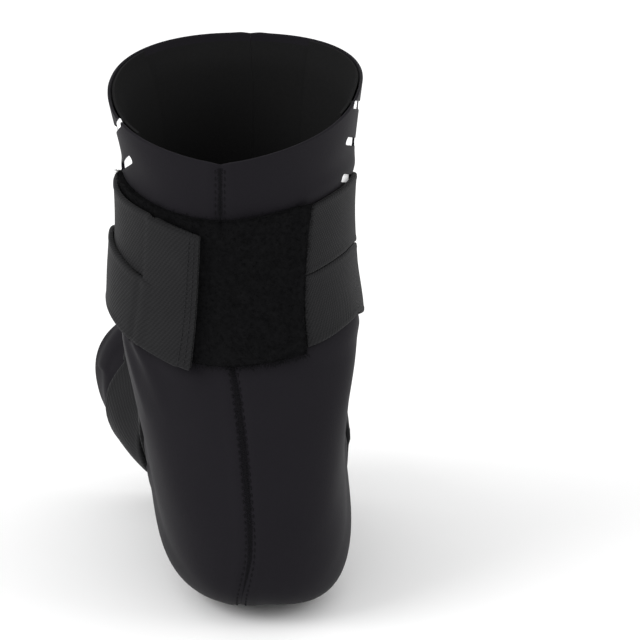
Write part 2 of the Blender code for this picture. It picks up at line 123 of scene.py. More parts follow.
# Pair B runs from its free end on the pile panel round the +X side, over the instep
# under pair A, and down the -X side.
PAIR_B_ROUTE = (
    (11.7, 2.62, 1.03, 11.0, 1.0, 1.0, 0.0, 0.0),
    (26, 2.52, 1.03, 10.0, 1.0, 1.0, 0.0, 0.0),
    (42, 2.44, 1.00, 4.0, 1.0, 0.7, 0.0, 0.0),
    (64, 2.39, 0.88, 0.0, 1.0, 0.2, 0.0, 0.0),
    (88, 2.45, 0.83, 0.0, 0.6, 0.0, 0.0, 0.0),
    (112, 2.84, 1.03, 0.0, 0.0, 0.0, 0.0, 0.0),
    (145, 3.85, 1.03, 0.0, 0.0, 0.0, 0.0, 0.0),
    (180, 4.95, 1.03, 0.0, 0.0, 0.0, 0.0, 0.0),
    (200, 5.75, 1.05, 0.0, 0.0, 0.0, 0.0, 0.0),
    (220, 6.90, 1.06, 0.0, 0.0, 0.0, 0.0, 0.0),
    (240, 8.30, 1.04, 0.0, 0.0, 0.0, 0.0, 0.0),
    (260, 9.50, 1.08, 0.0, 0.0, 0.0, 0.0, 0.0),
    (280, 10.15, 1.22, 0.0, 0.0, 0.0, 0.0, 0.1),
    (300, 10.45, 1.42, 0.0, 0.0, 0.0, 0.0, 0.1),
    (325, 10.60, 1.48, 0.0, 0.0, 0.0, 0.0, 0.0),
    (351, 10.70, 1.48, 0.0, 0.0, 0.0, 0.0, 0.0),
)
# The pile panel starts where pair A ends and runs on under the free end of pair B.
PILE_ROUTE = (
    (-38.7, 2.43, 0.0, -11.0, 0.0, 0.0, 0.0, 0.0),
    (0, 2.46, 0.0, 0.0, 0.0, 0.0, 0.0, 0.0),
    (35, 2.42, 0.0, 0.0, 0.0, 0.0, 0.0, 0.0),
    (78, 2.36, 0.0, 0.0, 0.0, 0.0, 0.0, 0.0),
)
# The anchor runs along the sole over the ends of all four bands.
ANCHOR_ROUTE = (
    (0, 9.55, 0.0, 0.0, 0.0, 0.0, 1.0, 0.0),
    (0, 10.70, 0.0, 0.0, 0.0, 0.0, 1.0, 0.0),
    (0, 11.85, 0.0, 0.0, 0.0, 0.0, 1.0, 0.0),
)


def catmull_rom(place: Array, rows: Array) -> Array:
    """Read a smooth curve through rows, one row for each whole step of place.

    Between two rows the curve is the cubic whose slope at each row is half the step from
    the row before it to the row after it.

    Args:
        place: where to read, 0 at the first row.
        rows: the table, one row for each whole number.

    Returns:
        The curve's row at each place.
    """
    place = np.asarray(place, float)
    low = np.clip(np.floor(place).astype(int), 0, len(rows) - 2)
    t = (place - low)[..., None]
    here, there = rows[low], rows[low + 1]
    has_before = (low > 0)[..., None]
    before = np.where(has_before, rows[np.maximum(low - 1, 0)], 2 * here - there)
    has_after = (low < len(rows) - 2)[..., None]
    after = np.where(has_after, rows[np.minimum(low + 2, len(rows) - 1)], 2 * there - here)
    cubic = 3 * (here - there) + after - before
    square = 2 * before - 5 * here + 4 * there - after
    return here + 0.5 * t * (there - before + t * (square + t * cubic))


def unit(vectors: Array) -> Array:
    """Scale vectors to length one."""
    return vectors / np.linalg.norm(vectors, axis=-1, keepdims=True)


def smooth_step(value: Array, start: float, end: float) -> Array:
    """Rise from 0 at start to 1 at end, level at both: 3t^2 - 2t^3."""
    t = np.clip((np.asarray(value, float) - start) / (end - start), 0.0, 1.0)
    return t * t * (3.0 - 2.0 * t)


def hump(value: Array, middle: float, width: float) -> Array:
    """Bell curve of height 1 at middle: exp(-((value - middle) / width)^2)."""
    return np.exp(-(((value - middle) / width) ** 2))


@dataclass(frozen=True)
class SleeveForm:
    """Outer surface of the sleeve, a point for each section and angle.

    An angle runs round the sleeve from the back seam toward +X, and a section runs from
    0 at the leg rim to 12 at the toe rim. Sizes are those of the CAD, but the cloth thins
    toward both rims, and the leg rim has no dip at the front.
    """

    height: float = 0.189
    foot_length: float = 0.141
    leg_width: float = 0.0856
    ankle_height: float = 0.080
    ankle_forward: float = 0.055
    cloth: float = 0.0025
    clearance: float = 0.0007
    back_dip: float = 0.011
    back_dip_spread: float = 82.0
    dip_fade: float = 3.0
    thin_edge: float = 0.35
    thin_reach: float = 0.5
    toe_share: float = 0.6
    derivative_step: float = 0.001
    march_steps: int = 8

    def table(self) -> Array:
        """The table of sections with its shares turned into metres."""
        units = {"front_y": self.foot_length, "back_y": self.foot_length,
                 "front_z": self.height, "back_z": self.height, "half_width": self.leg_width,
                 "front_x": self.leg_width, "back_x": self.leg_width}
        return np.array(SECTIONS, float) * [units.get(name, 1.0) for name in SECTION_COLUMNS]

    def rim_dip(self, angle: Array) -> Array:
        """Depth of the V in the leg rim at the back."""
        from_back = np.abs((angle + 180.0) % 360.0 - 180.0)
        return self.back_dip * np.clip(1.0 - from_back / self.back_dip_spread, 0.0, 1.0)

    def point(self, section: Array, angle: Array) -> Array:
        """Point of the outer surface.

        The oval's radius is (|cos|^n + |sin|^n)^(-1/n). Its sine gives the width, and
        its cosine gives the place between the section's front and back points.

        Args:
            section: place from the leg rim to the toe rim.
            angle: degrees from the back seam toward +X.

        Returns:
            Points in metres, in a last axis of three.
        """
        section, angle = np.broadcast_arrays(np.asarray(section, float), np.asarray(angle, float))
        columns = np.moveaxis(catmull_rom(section, self.table()), -1, 0)
        oval = dict(zip(SECTION_COLUMNS, columns))
        turned = np.radians(angle + oval["turn"])
        cosine, sine = np.cos(turned), np.sin(turned)
        power = oval["squareness"]
        radius = (np.abs(cosine) ** power + np.abs(sine) ** power) ** (-1.0 / power)
        toward_back = (1.0 + cosine * radius) / 2.0

        def between(front: str, back: str) -> Array:
            """Mix a column of the front point with one of the back point."""
            return oval[front] + (oval[back] - oval[front]) * toward_back

        x = oval["half_width"] * sine * radius + between("front_x", "back_x")
        y = self.ankle_forward - between("front_y", "back_y")
        dip = self.rim_dip(angle) * np.clip(1.0 - section / self.dip_fade, 0.0, 1.0)
        z = between("front_z", "back_z") - dip - self.ankle_height
        return np.stack([x, y, z], -1)

    def slopes(self, section: Array, angle: Array) -> tuple[Array, Array]:
        """Change of the point for each section and for each degree, by small steps."""
        step, wide = self.derivative_step, 100 * self.derivative_step
        down = self.point(section + step, angle) - self.point(section - step, angle)
        around = self.point(section, angle + wide) - self.point(section, angle - wide)
        return down / (2 * step), around / (2 * wide)

    def outward(self, section: Array, angle: Array) -> Array:
        """Unit normal away from the leg, the cross product of the two slopes."""
        down, around = self.slopes(section, angle)
        return unit(np.cross(around, down))

    def walk(self, section: Array, angle: Array, heading: Array,
             distance: Array) -> tuple[Array, Array]:
        """Walk straight over the surface in short steps that stay in its plane.

        Args:
            section: sections of the starting points.
            angle: their angles.
            heading: directions in space.
            distance: metres to walk.

        Returns:
            Sections and angles arrived at.
        """
        section, angle = np.array(section, float), np.array(angle, float)
        step = np.asarray(distance, float) / self.march_steps
        for _ in range(self.march_steps):
            down, around = self.slopes(section, angle)
            normal = unit(np.cross(around, down))
            heading = unit(heading - normal * np.sum(heading * normal, -1, keepdims=True))
            plane = np.stack([down, around], -1)
            move = np.linalg.pinv(plane) @ (heading * step[..., None])[..., None]
            section = section + move[..., 0, 0]
            angle = angle + move[..., 1, 0]
        return section, angle

    def wall(self, section: Array) -> Array:
        """Thickness of the cloth, which thins toward both rims."""
        from_rim = np.minimum(section, (TOE_RIM - section) * self.toe_share)
        near_rim = 1.0 - smooth_step(from_rim, 0.0, self.thin_reach)
        return self.cloth * (1.0 - (1.0 - self.thin_edge) * near_rim)

    def raised(self, section: Array, angle: Array, height: Array) -> Array:
        """Points at a height off the outer surface, along its normal."""
        height = np.asarray(height, float)[..., None]
        return self.point(section, angle) + self.outward(section, angle) * height


FORM = SleeveForm()


@dataclass(frozen=True)
class Layers:
    """Thicknesses and widths of what lies on the sleeve, the same as in the CAD."""

    band_width: float = 0.0235
    band: float = 0.0012
    standoff: float = 0.0025
    pile_height: float = 0.052
    pile: float = 0.0012
    hook_length: float = 0.017
    hook: float = 0.0007
    anchor_width: float = 0.026
    anchor: float = 0.0010


LAYERS = Layers()


class Route:
    """A line over the sleeve, read at even stations, with its layer's lift."""

    samples: int = 240

    def __init__(self, rows: tuple, station: float, start: float = 0.0,
                 end: float | None = None) -> None:
        """Read the table's curve at even distances.

        Args:
            rows: the route's table.
            station: metres between two stations, at about.
            start: metres from the line's start at which to begin.
            end: metres at which to end, or None for the whole line.
        """
        place = np.linspace(0, len(rows) - 1, self.samples)
        table = catmull_rom(place, np.array(rows, float))
        points = FORM.point(table[:, 1], table[:, 0])
        steps = np.linalg.norm(np.diff(points, axis=0), axis=1)
        along = np.concatenate([[0.0], np.cumsum(steps)])
        end = along[-1] if end is None else end
        count = max(2, round((end - start) / station))
        self.along = np.linspace(start, end, count + 1)
        read = {name: np.interp(self.along, along, column)
                for name, column in zip(ROUTE_COLUMNS, table.T)}
        self.angle, self.section, self.spread = read["angle"], read["section"], read["spread"]
        self.on_hook = read["on_hook"]
        self.base_lift = (FORM.clearance
                          + read["on_pile"] * (LAYERS.pile + FORM.clearance)
                          + read["on_band"] * (LAYERS.band + FORM.clearance)
                          + read["loose"] * LAYERS.standoff)
        self.slant = np.radians(read["slant"])
        self.ahead = unit(np.gradient(FORM.point(self.section, self.angle), axis=0))
        self.side = unit(np.cross(self.ahead, FORM.outward(self.section, self.angle)))

    def beside(self, offsets: Array) -> tuple[Array, Array]:
        """Places at offsets to one side of the line.

        Args:
            offsets: metres, a row for each station and a column for each line.

        Returns:
            Sections and angles, of the same shape.
        """
        lean = self.side + self.ahead * np.tan(self.slant)[:, None]
        reach = offsets / np.cos(self.slant)[:, None]
        section = np.repeat(self.section[:, None], offsets.shape[1], 1)
        angle = np.repeat(self.angle[:, None], offsets.shape[1], 1)
        return FORM.walk(section, angle, np.repeat(lean[:, None], offsets.shape[1], 1), reach)


class Socket:
    """A shader value that takes part in Python expressions and adds its Math nodes."""

    def __init__(self, shader: "Shader", link: bpy.types.NodeSocket) -> None:
        """Wrap one output socket of a shader's tree."""
        self.shader, self.link = shader, link

    def _math(self, operation: str, first: object, second: object = 0.0) -> "Socket":
        """Add one Math node on two values."""
        settings = {"operation": operation}
        return self.shader.node("ShaderNodeMath", settings, {0: first, 1: second})

    def __add__(self, other: object) -> "Socket":
        """Sum."""
        return self._math("ADD", self, other)

    __radd__ = __add__

    def __mul__(self, other: object) -> "Socket":
        """Product."""
        return self._math("MULTIPLY", self, other)

    __rmul__ = __mul__

    def __sub__(self, other: object) -> "Socket":
        """Difference."""
        return self._math("SUBTRACT", self, other)

    def __rsub__(self, other: object) -> "Socket":
        """Difference from a number."""
        return self._math("SUBTRACT", other, self)

    def sine(self) -> "Socket":
        """Sine of a value in radians."""
        return self._math("SINE", self)


class Shader:
    """Builds one material's nodes around its Principled shader."""

    def __init__(self, name: str, roughness: float, specular: float = 0.3,
                 sheen: float = 0.0, sheen_roughness: float = 0.5) -> None:
        """Start a material with the numbers that are the same all over."""
        self.material = bpy.data.materials.new(name)
        self.material.use_nodes = True
        self.tree = self.material.node_tree
        self.principled = self.tree.nodes["Principled BSDF"]
        uniform = {"Roughness": roughness, "Specular IOR Level": specular,
                   "Sheen Weight": sheen, "Sheen Roughness": sheen_roughness}
        for socket, value in uniform.items():
            self.principled.inputs[socket].default_value = value

    def node(self, kind: str, settings: dict, values: dict, output: int | str = 0) -> Socket:
        """Add a node, its settings first and then the values or links of its sockets.

        Args:
            kind: the node's type.
            settings: attributes of the node.
            values: numbers, vectors or Sockets by input name or index.
            output: which output to give back.

        Returns:
            The output, wrapped.
        """
        made = self.tree.nodes.new(kind)
        for name, value in settings.items():
            setattr(made, name, value)
        for key, value in values.items():
            if isinstance(value, Socket):
                self.tree.links.new(value.link, made.inputs[key])
            else:
                made.inputs[key].default_value = value
        return Socket(self, made.outputs[output])

    def feed(self, name: str, value: Socket) -> None:
        """Link a value to one of the Principled shader's inputs."""
        self.tree.links.new(value.link, self.principled.inputs[name])

    def place(self) -> Socket:
        """Object coordinates, in metres."""
        return self.node("ShaderNodeTexCoord", {}, {}, "Object")

    def woven(self, part: int) -> Socket:
        """One coordinate of the piece's own weave map in metres: 0 along, 1 across."""
        weave = self.node("ShaderNodeUVMap", {"uv_map": "weave"}, {})
        return self.node("ShaderNodeSeparateXYZ", {}, {0: weave}, part)

    def noise(self, size: float, detail: float = 2.0, vector: Socket | None = None) -> Socket:
        """Noise from 0 to 1 whose blotches measure about size metres."""
        where = self.place() if vector is None else vector
        return self.node("ShaderNodeTexNoise", {}, {
            "Vector": where, "Scale": 1.0 / size, "Detail": detail, "Roughness": 0.55})

    def mix(self, factor: Socket, low: tuple, high: tuple) -> Socket:
        """Mix two colours."""
        return self.node("ShaderNodeMix", {"data_type": "RGBA"}, {
            0: factor, 6: (*low, 1.0), 7: (*high, 1.0)}, 2)

    def bump(self, height: Socket, depth: float, strength: float = 1.0) -> None:
        """Give the surface a fine relief of a depth in metres."""
        normal = self.node("ShaderNodeBump", {}, {
            "Strength": strength, "Distance": depth, "Height": height})
        self.feed("Normal", normal)


@dataclass(frozen=True)
class KnitFinish:
    """Smooth jersey face of the sleeve's foam cloth."""

    low: tuple = (0.0070, 0.0062, 0.0083)
    high: tuple = (0.0097, 0.0087, 0.0113)
    blotch: float = 0.022
    grain: float = 0.0005
    roughness: float = 0.72
    specular: float = 0.09
    sheen: float = 0.045
    sheen_roughness: float = 0.35

    def material(self) -> bpy.types.Material:
        """Two near blacks in soft blotches, with a fine even grain."""
        shader = Shader("sleeve_knit", self.roughness, self.specular, self.sheen,
                        self.sheen_roughness)
        grain = shader.noise(self.grain, 1.0)
        blotch = shader.noise(self.blotch, 3.0)
        shade = blotch * 0.75 + grain * 0.25
        shader.feed("Base Color", shader.mix(shade, self.low, self.high))
        shader.feed("Roughness", self.roughness + (grain - 0.5) * 0.10)
        shader.bump(grain * 0.7 + shader.noise(self.grain * 3.0, 1.0) * 0.3, 0.00012, 0.6)
        return shader.material


@dataclass(frozen=True)
class InsideFinish:
    """Dull inner face of the sleeve, which the photograph shows as flat black."""

    colour: tuple = (0.0125, 0.0125, 0.0127)
    nap: float = 0.0012

    def material(self) -> bpy.types.Material:
        """Even black with a short nap."""
        shader = Shader("sleeve_inside", 1.0, 0.05)
        nap = shader.noise(self.nap, 2.0)
        darker = tuple(0.8 * value for value in self.colour)
        shader.feed("Base Color", shader.mix(nap, darker, self.colour))
        shader.bump(nap, 0.0002, 0.3)
        return shader.material


@dataclass(frozen=True)
class ElasticFinish:
    """Woven elastic, with fine ribs across the band and the twill of its face."""

    low: tuple = (0.0070, 0.0070, 0.0075)
    high: tuple = (0.0190, 0.0190, 0.0201)
    rib: float = 0.00115
    cord: float = 0.00085
    lean: float = 0.55
    roughness: float = 0.72
    specular: float = 0.10
    sheen: float = 0.055
    sheen_roughness: float = 0.4

    def material(self) -> bpy.types.Material:
        """Diagonal ribs crossed by fine cords, both worked out from the weave map.

        The rib's height is the sine of the distance along plus lean times the distance
        across. The cord's is the sine of the distance across.
        """
        shader = Shader("elastic_band", self.roughness, self.specular, self.sheen,
                        self.sheen_roughness)
        along, across = shader.woven(0), shader.woven(1)
        waver = shader.noise(0.004, 1.0) * 0.0006
        rib = ((along + across * self.lean + waver) * (2 * math.pi / self.rib)).sine() * 0.5 + 0.5
        cord = (across * (2 * math.pi / self.cord)).sine() * 0.5 + 0.5
        fuzz = shader.noise(0.00045, 2.0)
        weave = rib * 0.5 + cord * 0.25 + fuzz * 0.25
        blotch = shader.noise(0.012, 3.0)
        shader.feed("Base Color", shader.mix(weave * 0.6 + blotch * 0.4, self.low, self.high))
        shader.feed("Roughness", self.roughness + fuzz * 0.16)
        shader.bump(weave, 0.00022, 0.8)
        return shader.material


@dataclass(frozen=True)
class PileFinish:
    """Brushed loops, the darkest cloth of the sleeve."""

    low: tuple = (0.0024, 0.0024, 0.0026)
    high: tuple = (0.0080, 0.0080, 0.0086)
    tuft: float = 0.0016
    roughness: float = 0.95
    specular: float = 0.03

    def material(self) -> bpy.types.Material:
        """Mottled black in tufts."""
        shader = Shader("loop_pile", self.roughness, self.specular)
        tuft = shader.noise(self.tuft, 3.0)
        shader.feed("Base Color", shader.mix(tuft, self.low, self.high))
        shader.bump(tuft, 0.0004, 0.7)
        return shader.material


@dataclass(frozen=True)
class ThreadFinish:
    """Matt sewing thread, twisted."""

    name: str = "seam_thread"
    low: tuple = (0.0048, 0.0046, 0.0056)
    high: tuple = (0.0080, 0.0076, 0.0090)

    def material(self) -> bpy.types.Material:
        """Near black with a fine twist."""
        shader = Shader(self.name, 0.85, 0.08)
        twist = shader.noise(0.0003, 1.0)
        shader.feed("Base Color", shader.mix(twist, self.low, self.high))
        shader.bump(twist, 0.00008, 0.5)
        return shader.material


@dataclass(frozen=True)
class BackingFinish:
    """White face of the strips behind the vents."""

    low: tuple = (0.80, 0.80, 0.82)
    high: tuple = (0.90, 0.90, 0.91)
    # Strength of the painted glow: emission that lights the cloth in the shade of its slots.
    painted_glow: float = 0.30

    def material(self) -> bpy.types.Material:
        """Fine white cloth with a painted glow, a white emission that makes it as bright in its
        slots' shade as in the open.
        """
        shader = Shader("vent_white", 0.6, 0.3)
        grain = shader.noise(0.0006, 1.0)
        shader.feed("Base Color", shader.mix(grain, self.low, self.high))
        # Painted light: a white emission makes the cloth glow though it is no lamp.
        shader.principled.inputs["Emission Color"].default_value = (1.0, 1.0, 1.0, 1.0)
        shader.principled.inputs["Emission Strength"].default_value = self.painted_glow
        shader.bump(grain, 0.0001, 0.4)
        return shader.material


class Wardrobe:
    """The finishes, each made once."""

    def __init__(self) -> None:
        """Make every material."""
        self.knit = KnitFinish().material()
        self.inside = InsideFinish().material()
        self.elastic = ElasticFinish().material()
        self.pile = PileFinish().material()
        self.thread = ThreadFinish().material()
        self.band_thread = ThreadFinish("band_thread", (0.0130, 0.0130, 0.0140),
                                        (0.0260, 0.0260, 0.0275)).material()
        self.white = BackingFinish().material()


def grid_quads(rows: int, columns: int, wrap_rows: bool = False,
               wrap_columns: bool = False) -> Array:
    """Quads between neighbouring points of a grid that is numbered row by row.

    Args:
        rows: number of rows of points.
        columns: number of columns of points.
        wrap_rows: whether the last row joins the first.
        wrap_columns: whether the last column joins the first.

    Returns:
        Four point numbers for each quad.
    """
    index = np.arange(rows * columns).reshape(rows, columns)
    if wrap_rows:
        index = np.concatenate([index, index[:1]])
    if wrap_columns:
        index = np.concatenate([index, index[:, :1]], 1)
    corners = (index[:-1, :-1], index[:-1, 1:], index[1:, 1:], index[1:, :-1])
    return np.stack(corners, -1).reshape(-1, 4)


def cap_quads(ring: Array) -> Array:
    """Quads across a closed ring of an even number of points, each side to its opposite."""
    count = len(ring)
    half = count // 2
    near, far = ring[:half], ring[::-1][:half]
    return np.stack([near[:-1], far[:-1], far[1:], near[1:]], -1)


@dataclass
class Piece:
    name: str
    slot: str
    materials: list
    replaces: tuple = ()
    smooth_angle: float = 50.0

    def build(self, points: Array, faces: Array, weave: Array | None = None,
              material_index: Array | None = None) -> bpy.types.Object:
        """Args:
            points: corner points.
            faces: quads of point numbers.
            weave: a pair of metres along and across for each point, or None.
            material_index: a material number for each face, or None for the first.

        Returns:
            The object.
        """
        mesh = bpy.data.meshes.new(self.name)
        mesh.from_pydata(points.reshape(-1, 3).tolist(), [], faces.tolist())
        if weave is not None:
            layer = mesh.uv_layers.new(name="weave")
            corner = np.empty(len(mesh.loops), int)
            mesh.loops.foreach_get("vertex_index", corner)
            layer.data.foreach_set("uv", weave.reshape(-1, 2)[corner].ravel())
        for material in self.materials:
            mesh.materials.append(material)
        if material_index is not None:
            mesh.polygons.foreach_set("material_index", material_index)
        self.face_outward(mesh)
        piece = bpy.data.objects.new(self.name, mesh)
        bpy.context.scene.collection.objects.link(piece)
        self.give(piece)
        return piece

    def face_outward(self, mesh: bpy.types.Mesh) -> None:
        """Turn the faces of closed shells outward and shade them smooth."""
        shapes = bmesh.new()
        shapes.from_mesh(mesh)
        bmesh.ops.recalc_face_normals(shapes, faces=shapes.faces)
        shapes.to_mesh(mesh)
        shapes.free()
        mesh.shade_smooth()
        mesh.set_sharp_from_angle(angle=math.radians(self.smooth_angle))

    def give(self, piece: bpy.types.Object) -> None:
        """Ride the piece on the sleeve's body and hide the CAD parts that it stands for."""
        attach(piece, "root")
        if self.replaces:
            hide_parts(*self.replaces)
        LOG.info("%s: %d faces", self.name, len(piece.data.polygons))


@dataclass(frozen=True)
class Slots:
    """Places and sizes of the vent slots, the same as in the CAD."""

    width: float = 0.0030
    angle_left: float = 88.0
    angle_right: float = 109.0
    top_left: float = 0.0190
    top_right: float = 0.0140
    pitch: float = 0.0132
    rows: int = 6
    front: float = 0.0210
    back: float = 0.0240
    front_slope_left: float = 27.0
    front_slope_right: float = 18.0
    back_slope_left: float = 26.0
    back_slope_right: float = 19.0
    space: float = 0.0030
    arch: float = 0.0085
    arch_pitch: float = 0.0115
    arch_rows: int = 4
    arch_slope: float = 20.0
    arch_angle: float = 82.0
    tip_width: float = 0.00003

    def leg_slots(self, side: Side) -> list:
        """Every slot of one leg side.

        Args:
            side: the half of the sleeve.

        Returns:
            Section, angle, heading and length of each slot.
        """
        sign = side.value

        def own(name: str) -> float:
            """The side's own value of a size."""
            return getattr(self, name + "_" + side.word)

        angle = own("angle") * sign % 360.0
        section = 0.0
        slots = []
        for row in range(self.rows):
            down, _ = FORM.slopes(section, angle)
            step = own("top") if row == 0 else self.pitch
            section, _ = FORM.walk(section, angle, unit(down), step)
            _, around = FORM.slopes(section, angle)
            to_back = unit(around) * -sign
            up = np.cross(FORM.outward(section, angle), to_back) * sign
            slots.append((section, angle, to_back, self.width))
            for level, slope, length in ((-to_back, own("front_slope"), self.front),
                                         (to_back, own("back_slope"), self.back)):
                tilt = math.radians(slope)
                heading = level * math.cos(tilt) + up * math.sin(tilt)
                reach = self.width / 2 + self.space + length / 2
                slots.append((*FORM.walk(section, angle, heading, reach), heading, length))
        return slots

    def arch_slots(self, route: Route, side: Side) -> list:
        """Slots in the gap between a pair's bands, in the form that leg_slots gives."""
        angles = np.degrees(np.unwrap(np.radians(route.angle)))
        start = self.arch_angle if side is Side.LEFT else 360.0 - self.arch_angle
        first = np.argmin(np.abs(angles - start))
        slots = []
        for row in range(self.arch_rows):
            at = route.along[first] + row * self.arch_pitch
            section = np.interp(at, route.along, route.section)
            angle = np.interp(at, route.along, angles)
            across = np.array([np.interp(at, route.along, line) for line in route.side.T])
            along = np.cross(FORM.outward(section, angle), across)
            tilt = math.radians(self.arch_slope) * side.value
            heading = across * math.cos(tilt) + along * math.sin(tilt)
            slots.append((section, angle, unit(heading), self.arch))
        return slots

    def long_outline(self, length: float, width: float, steps: int) -> Array:
        """Outline of a slot, there along one side and back along the other.

        The half width is the slot's radius between the middles of its round ends. Past
        them it falls by the circle's height over each place.

        Args:
            length: over the round ends.
            width: of the slot.
            steps: places on each round end and on the straight run.

        Returns:
            Points along X about the origin, opposite ones at the same X.
        """
        radius = width / 2
        reach = max(length / 2 - radius, 0.0)
        tip = reach + radius * np.cos(np.linspace(0.0, math.pi / 2, steps))
        run = np.linspace(-reach, reach, steps + 3)
        place = np.unique(np.round(np.concatenate([-tip, run, tip]), 8))
        past = np.clip((np.abs(place) - reach) / radius, 0.0, 1.0)
        half = np.maximum(radius * np.sqrt(1.0 - past * past), self.tip_width)
        there = np.stack([place, half], 1)
        return np.concatenate([there, there[::-1] * (1.0, -1.0)])

    def outline(self, length: float, width: float, steps: int) -> Array:
        """Outline of a slot with round ends, along X about the origin."""
        radius = width / 2
        reach = max(length / 2 - radius, 0.0)
        turn = np.linspace(-math.pi / 2, math.pi / 2, steps + 1)
        if reach == 0.0:
            turn = turn[:-1]
        end = np.stack([reach + radius * np.cos(turn), radius * np.sin(turn)], 1)
        return np.concatenate([end, -end])


SLOTS = Slots()


@dataclass
class SleeveCloth:
    """The sleeve's cloth, a half on each side, with slots cut through and stitched seams."""

    wardrobe: Wardrobe
    pairs: dict
    rows: int = 170
    columns: int = 120
    rim_steps: int = 6
    seam_gap: float = 0.00004
    seam_half: float = 0.0015
    valley: float = 0.00024
    cushion: float = 0.00030
    valley_width: float = 0.0007
    row_width: float = 0.0006
    cushion_at: float = 2.3
    cushion_width: float = 0.0022
    swell: float = 0.0007
    swell_width: float = 0.0035
    press: float = 0.0004
    press_edge: tuple = (-0.0006, 0.0025)
    end_fade: tuple = (0.004, 0.012)
    wobble: float = 0.0005
    fold_height: float = 0.0009
    fold_width: float = 0.0030
    chunk: int = 8000
    slot_steps: int = 8
    stitch_pitch: float = 0.0024
    stitch_share: float = 0.72
    stitch_radius: float = 0.00022
    cross_pitch: float = 0.00028
    cross_radius: float = 0.00013
    seam_margin: float = 0.12
    seam_samples: int = 900
    seed: int = 5
    folds: tuple = field(default=((60.0, 3.40, 36.0, 4.10), (52.0, 3.60, 37.0, 4.45),
                                  (66.0, 3.70, 54.0, 4.70)))

    def from_seams(self, section: Array, angle: Array) -> Array:
        """Metres over the cloth from the nearer seam's middle."""
        _, around = FORM.slopes(section, angle)
        from_back = np.abs((angle + 180.0) % 360.0 - 180.0)
        degrees = np.minimum(from_back, 180.0 - from_back)
        return degrees * np.linalg.norm(around, axis=-1)

    def band_press(self, section: Array, angle: Array) -> Array:
        """Relief beside and under the bands: pressed in below them, swollen past their edges.

        Each point takes the nearest station of a pair's line. Its distance across is
        compared with half the pair's width, and it counts only beside the line.
        """
        points = FORM.point(section, angle)
        flat = points.reshape(-1, 3)
        relief = np.zeros(len(flat))
        for route in self.pairs.values():
            line = FORM.point(route.section, route.angle)
            nearest = np.empty(len(flat), int)
            for start in range(0, len(flat), self.chunk):
                gap = flat[start:start + self.chunk, None] - line[None]
                nearest[start:start + self.chunk] = np.argmin(np.sum(gap * gap, -1), 1)
            offset = flat - line[nearest]
            across = np.abs(np.sum(offset * route.side[nearest], -1))
            past_end = np.abs(np.sum(offset * route.ahead[nearest], -1))
            beyond = across - (route.spread[nearest] + 1.0) * LAYERS.band_width / 2
            beside = 1.0 - smooth_step(past_end, *self.end_fade)
            shape = self.swell * hump(np.maximum(beyond, 0.0), self.swell_width, self.swell_width)
            shape -= (self.press + self.swell) * smooth_step(-beyond, *self.press_edge)
            relief += np.clip(shape, -self.press, None) * beside
        return np.clip(relief, -self.press, self.swell).reshape(points.shape[:-1])

    def fold_relief(self, section: Array, angle: Array) -> Array:
        """Soft ridges that run from the bands' lower edge toward the heel.

        A ridge is a bell curve of the distance from its line, which fades at both ends.
        """
        points = FORM.point(section, angle)
        relief = np.zeros(points.shape[:-1])
        for start_angle, start_section, end_angle, end_section in self.folds:
            start = FORM.point(start_section, start_angle)
            run = FORM.point(end_section, end_angle) - start
            share = (points - start) @ run / (run @ run)
            miss = np.linalg.norm(points - start - np.clip(share, 0, 1)[..., None] * run, axis=-1)
            fade = np.clip(1.15 - share, 0.0, 1.0) * smooth_step(share, -0.15, 0.1)
            relief += self.fold_height * fade * hump(miss, 0.0, self.fold_width)
        return relief

    def relief(self, section: Array, angle: Array) -> Array:
        """Height of the worn cloth off its plain form.

        It is the sum of the seam's valley with a cushion on each side, the marks of the
        bands, the folds, and a slow wobble of crossed sines.
        """
        seam = self.from_seams(section, angle)
        shape = -self.valley * hump(seam, 0.0, self.valley_width)
        shape -= self.valley * 0.8 * hump(seam, self.seam_half, self.row_width)
        shape += self.cushion * hump(seam, self.seam_half * self.cushion_at, self.cushion_width)
        turned = np.radians(angle)
        slow = (np.sin(3 * turned + 1.1 * section) + np.sin(5 * turned - 1.7 * section + 1.0)
                + 0.6 * np.sin(9 * turned + 2.3 * section + 2.0))
        edge = smooth_step(section, 0.0, 0.8) * smooth_step(TOE_RIM - section, 0.0, 0.5)
        shape += (self.band_press(section, angle) + self.fold_relief(section, angle)) * edge
        return shape + self.wobble * slow / 2.6 * edge

    def shell(self, side: Side) -> bpy.types.Object:
        """One half as a closed wall.

        A profile runs down the outside, round the toe rim, up the inside and round the leg
        rim, and is repeated at every angle from the back seam to the front seam. The rims
        are half circles of the wall's thickness.

        Args:
            side: the half to build.

        Returns:
            The half, without its slots.
        """
        sign = side.value
        across = np.linspace(0.0, 1.0, self.columns + 1)[None, :]
        place = np.linspace(0.0, TOE_RIM, self.rows)[:, None]
        _, back_around = FORM.slopes(place, 0.0)
        _, front_around = FORM.slopes(place, 180.0)
        start = self.seam_gap / np.linalg.norm(back_around, axis=-1)
        end = 180.0 - self.seam_gap / np.linalg.norm(front_around, axis=-1)
        angle = sign * (start + (end - start) * across)
        down, _ = FORM.slopes(place, angle)
        radius = FORM.cloth / 2
        margin = radius / np.linalg.norm(down, axis=-1)
        section = np.clip(place + np.zeros_like(angle), margin[0], TOE_RIM - margin[-1])
        outer = FORM.raised(section, angle, self.relief(section, angle))
        normal = FORM.outward(section, angle)
        inner = FORM.point(section, angle) - normal * FORM.wall(section)[..., None]
        turn = np.linspace(0.0, math.pi, self.rim_steps + 2)[1:-1, None, None]

        def rim(row: int, way: float) -> Array:
            """Half circle from the outer wall to the inner wall at one end."""
            middle = (outer[row] + inner[row]) / 2
            arm = outer[row] - middle
            past = unit(down[row]) * np.linalg.norm(arm, axis=-1, keepdims=True) * way
            return middle + arm * np.cos(turn) + past * np.sin(turn)

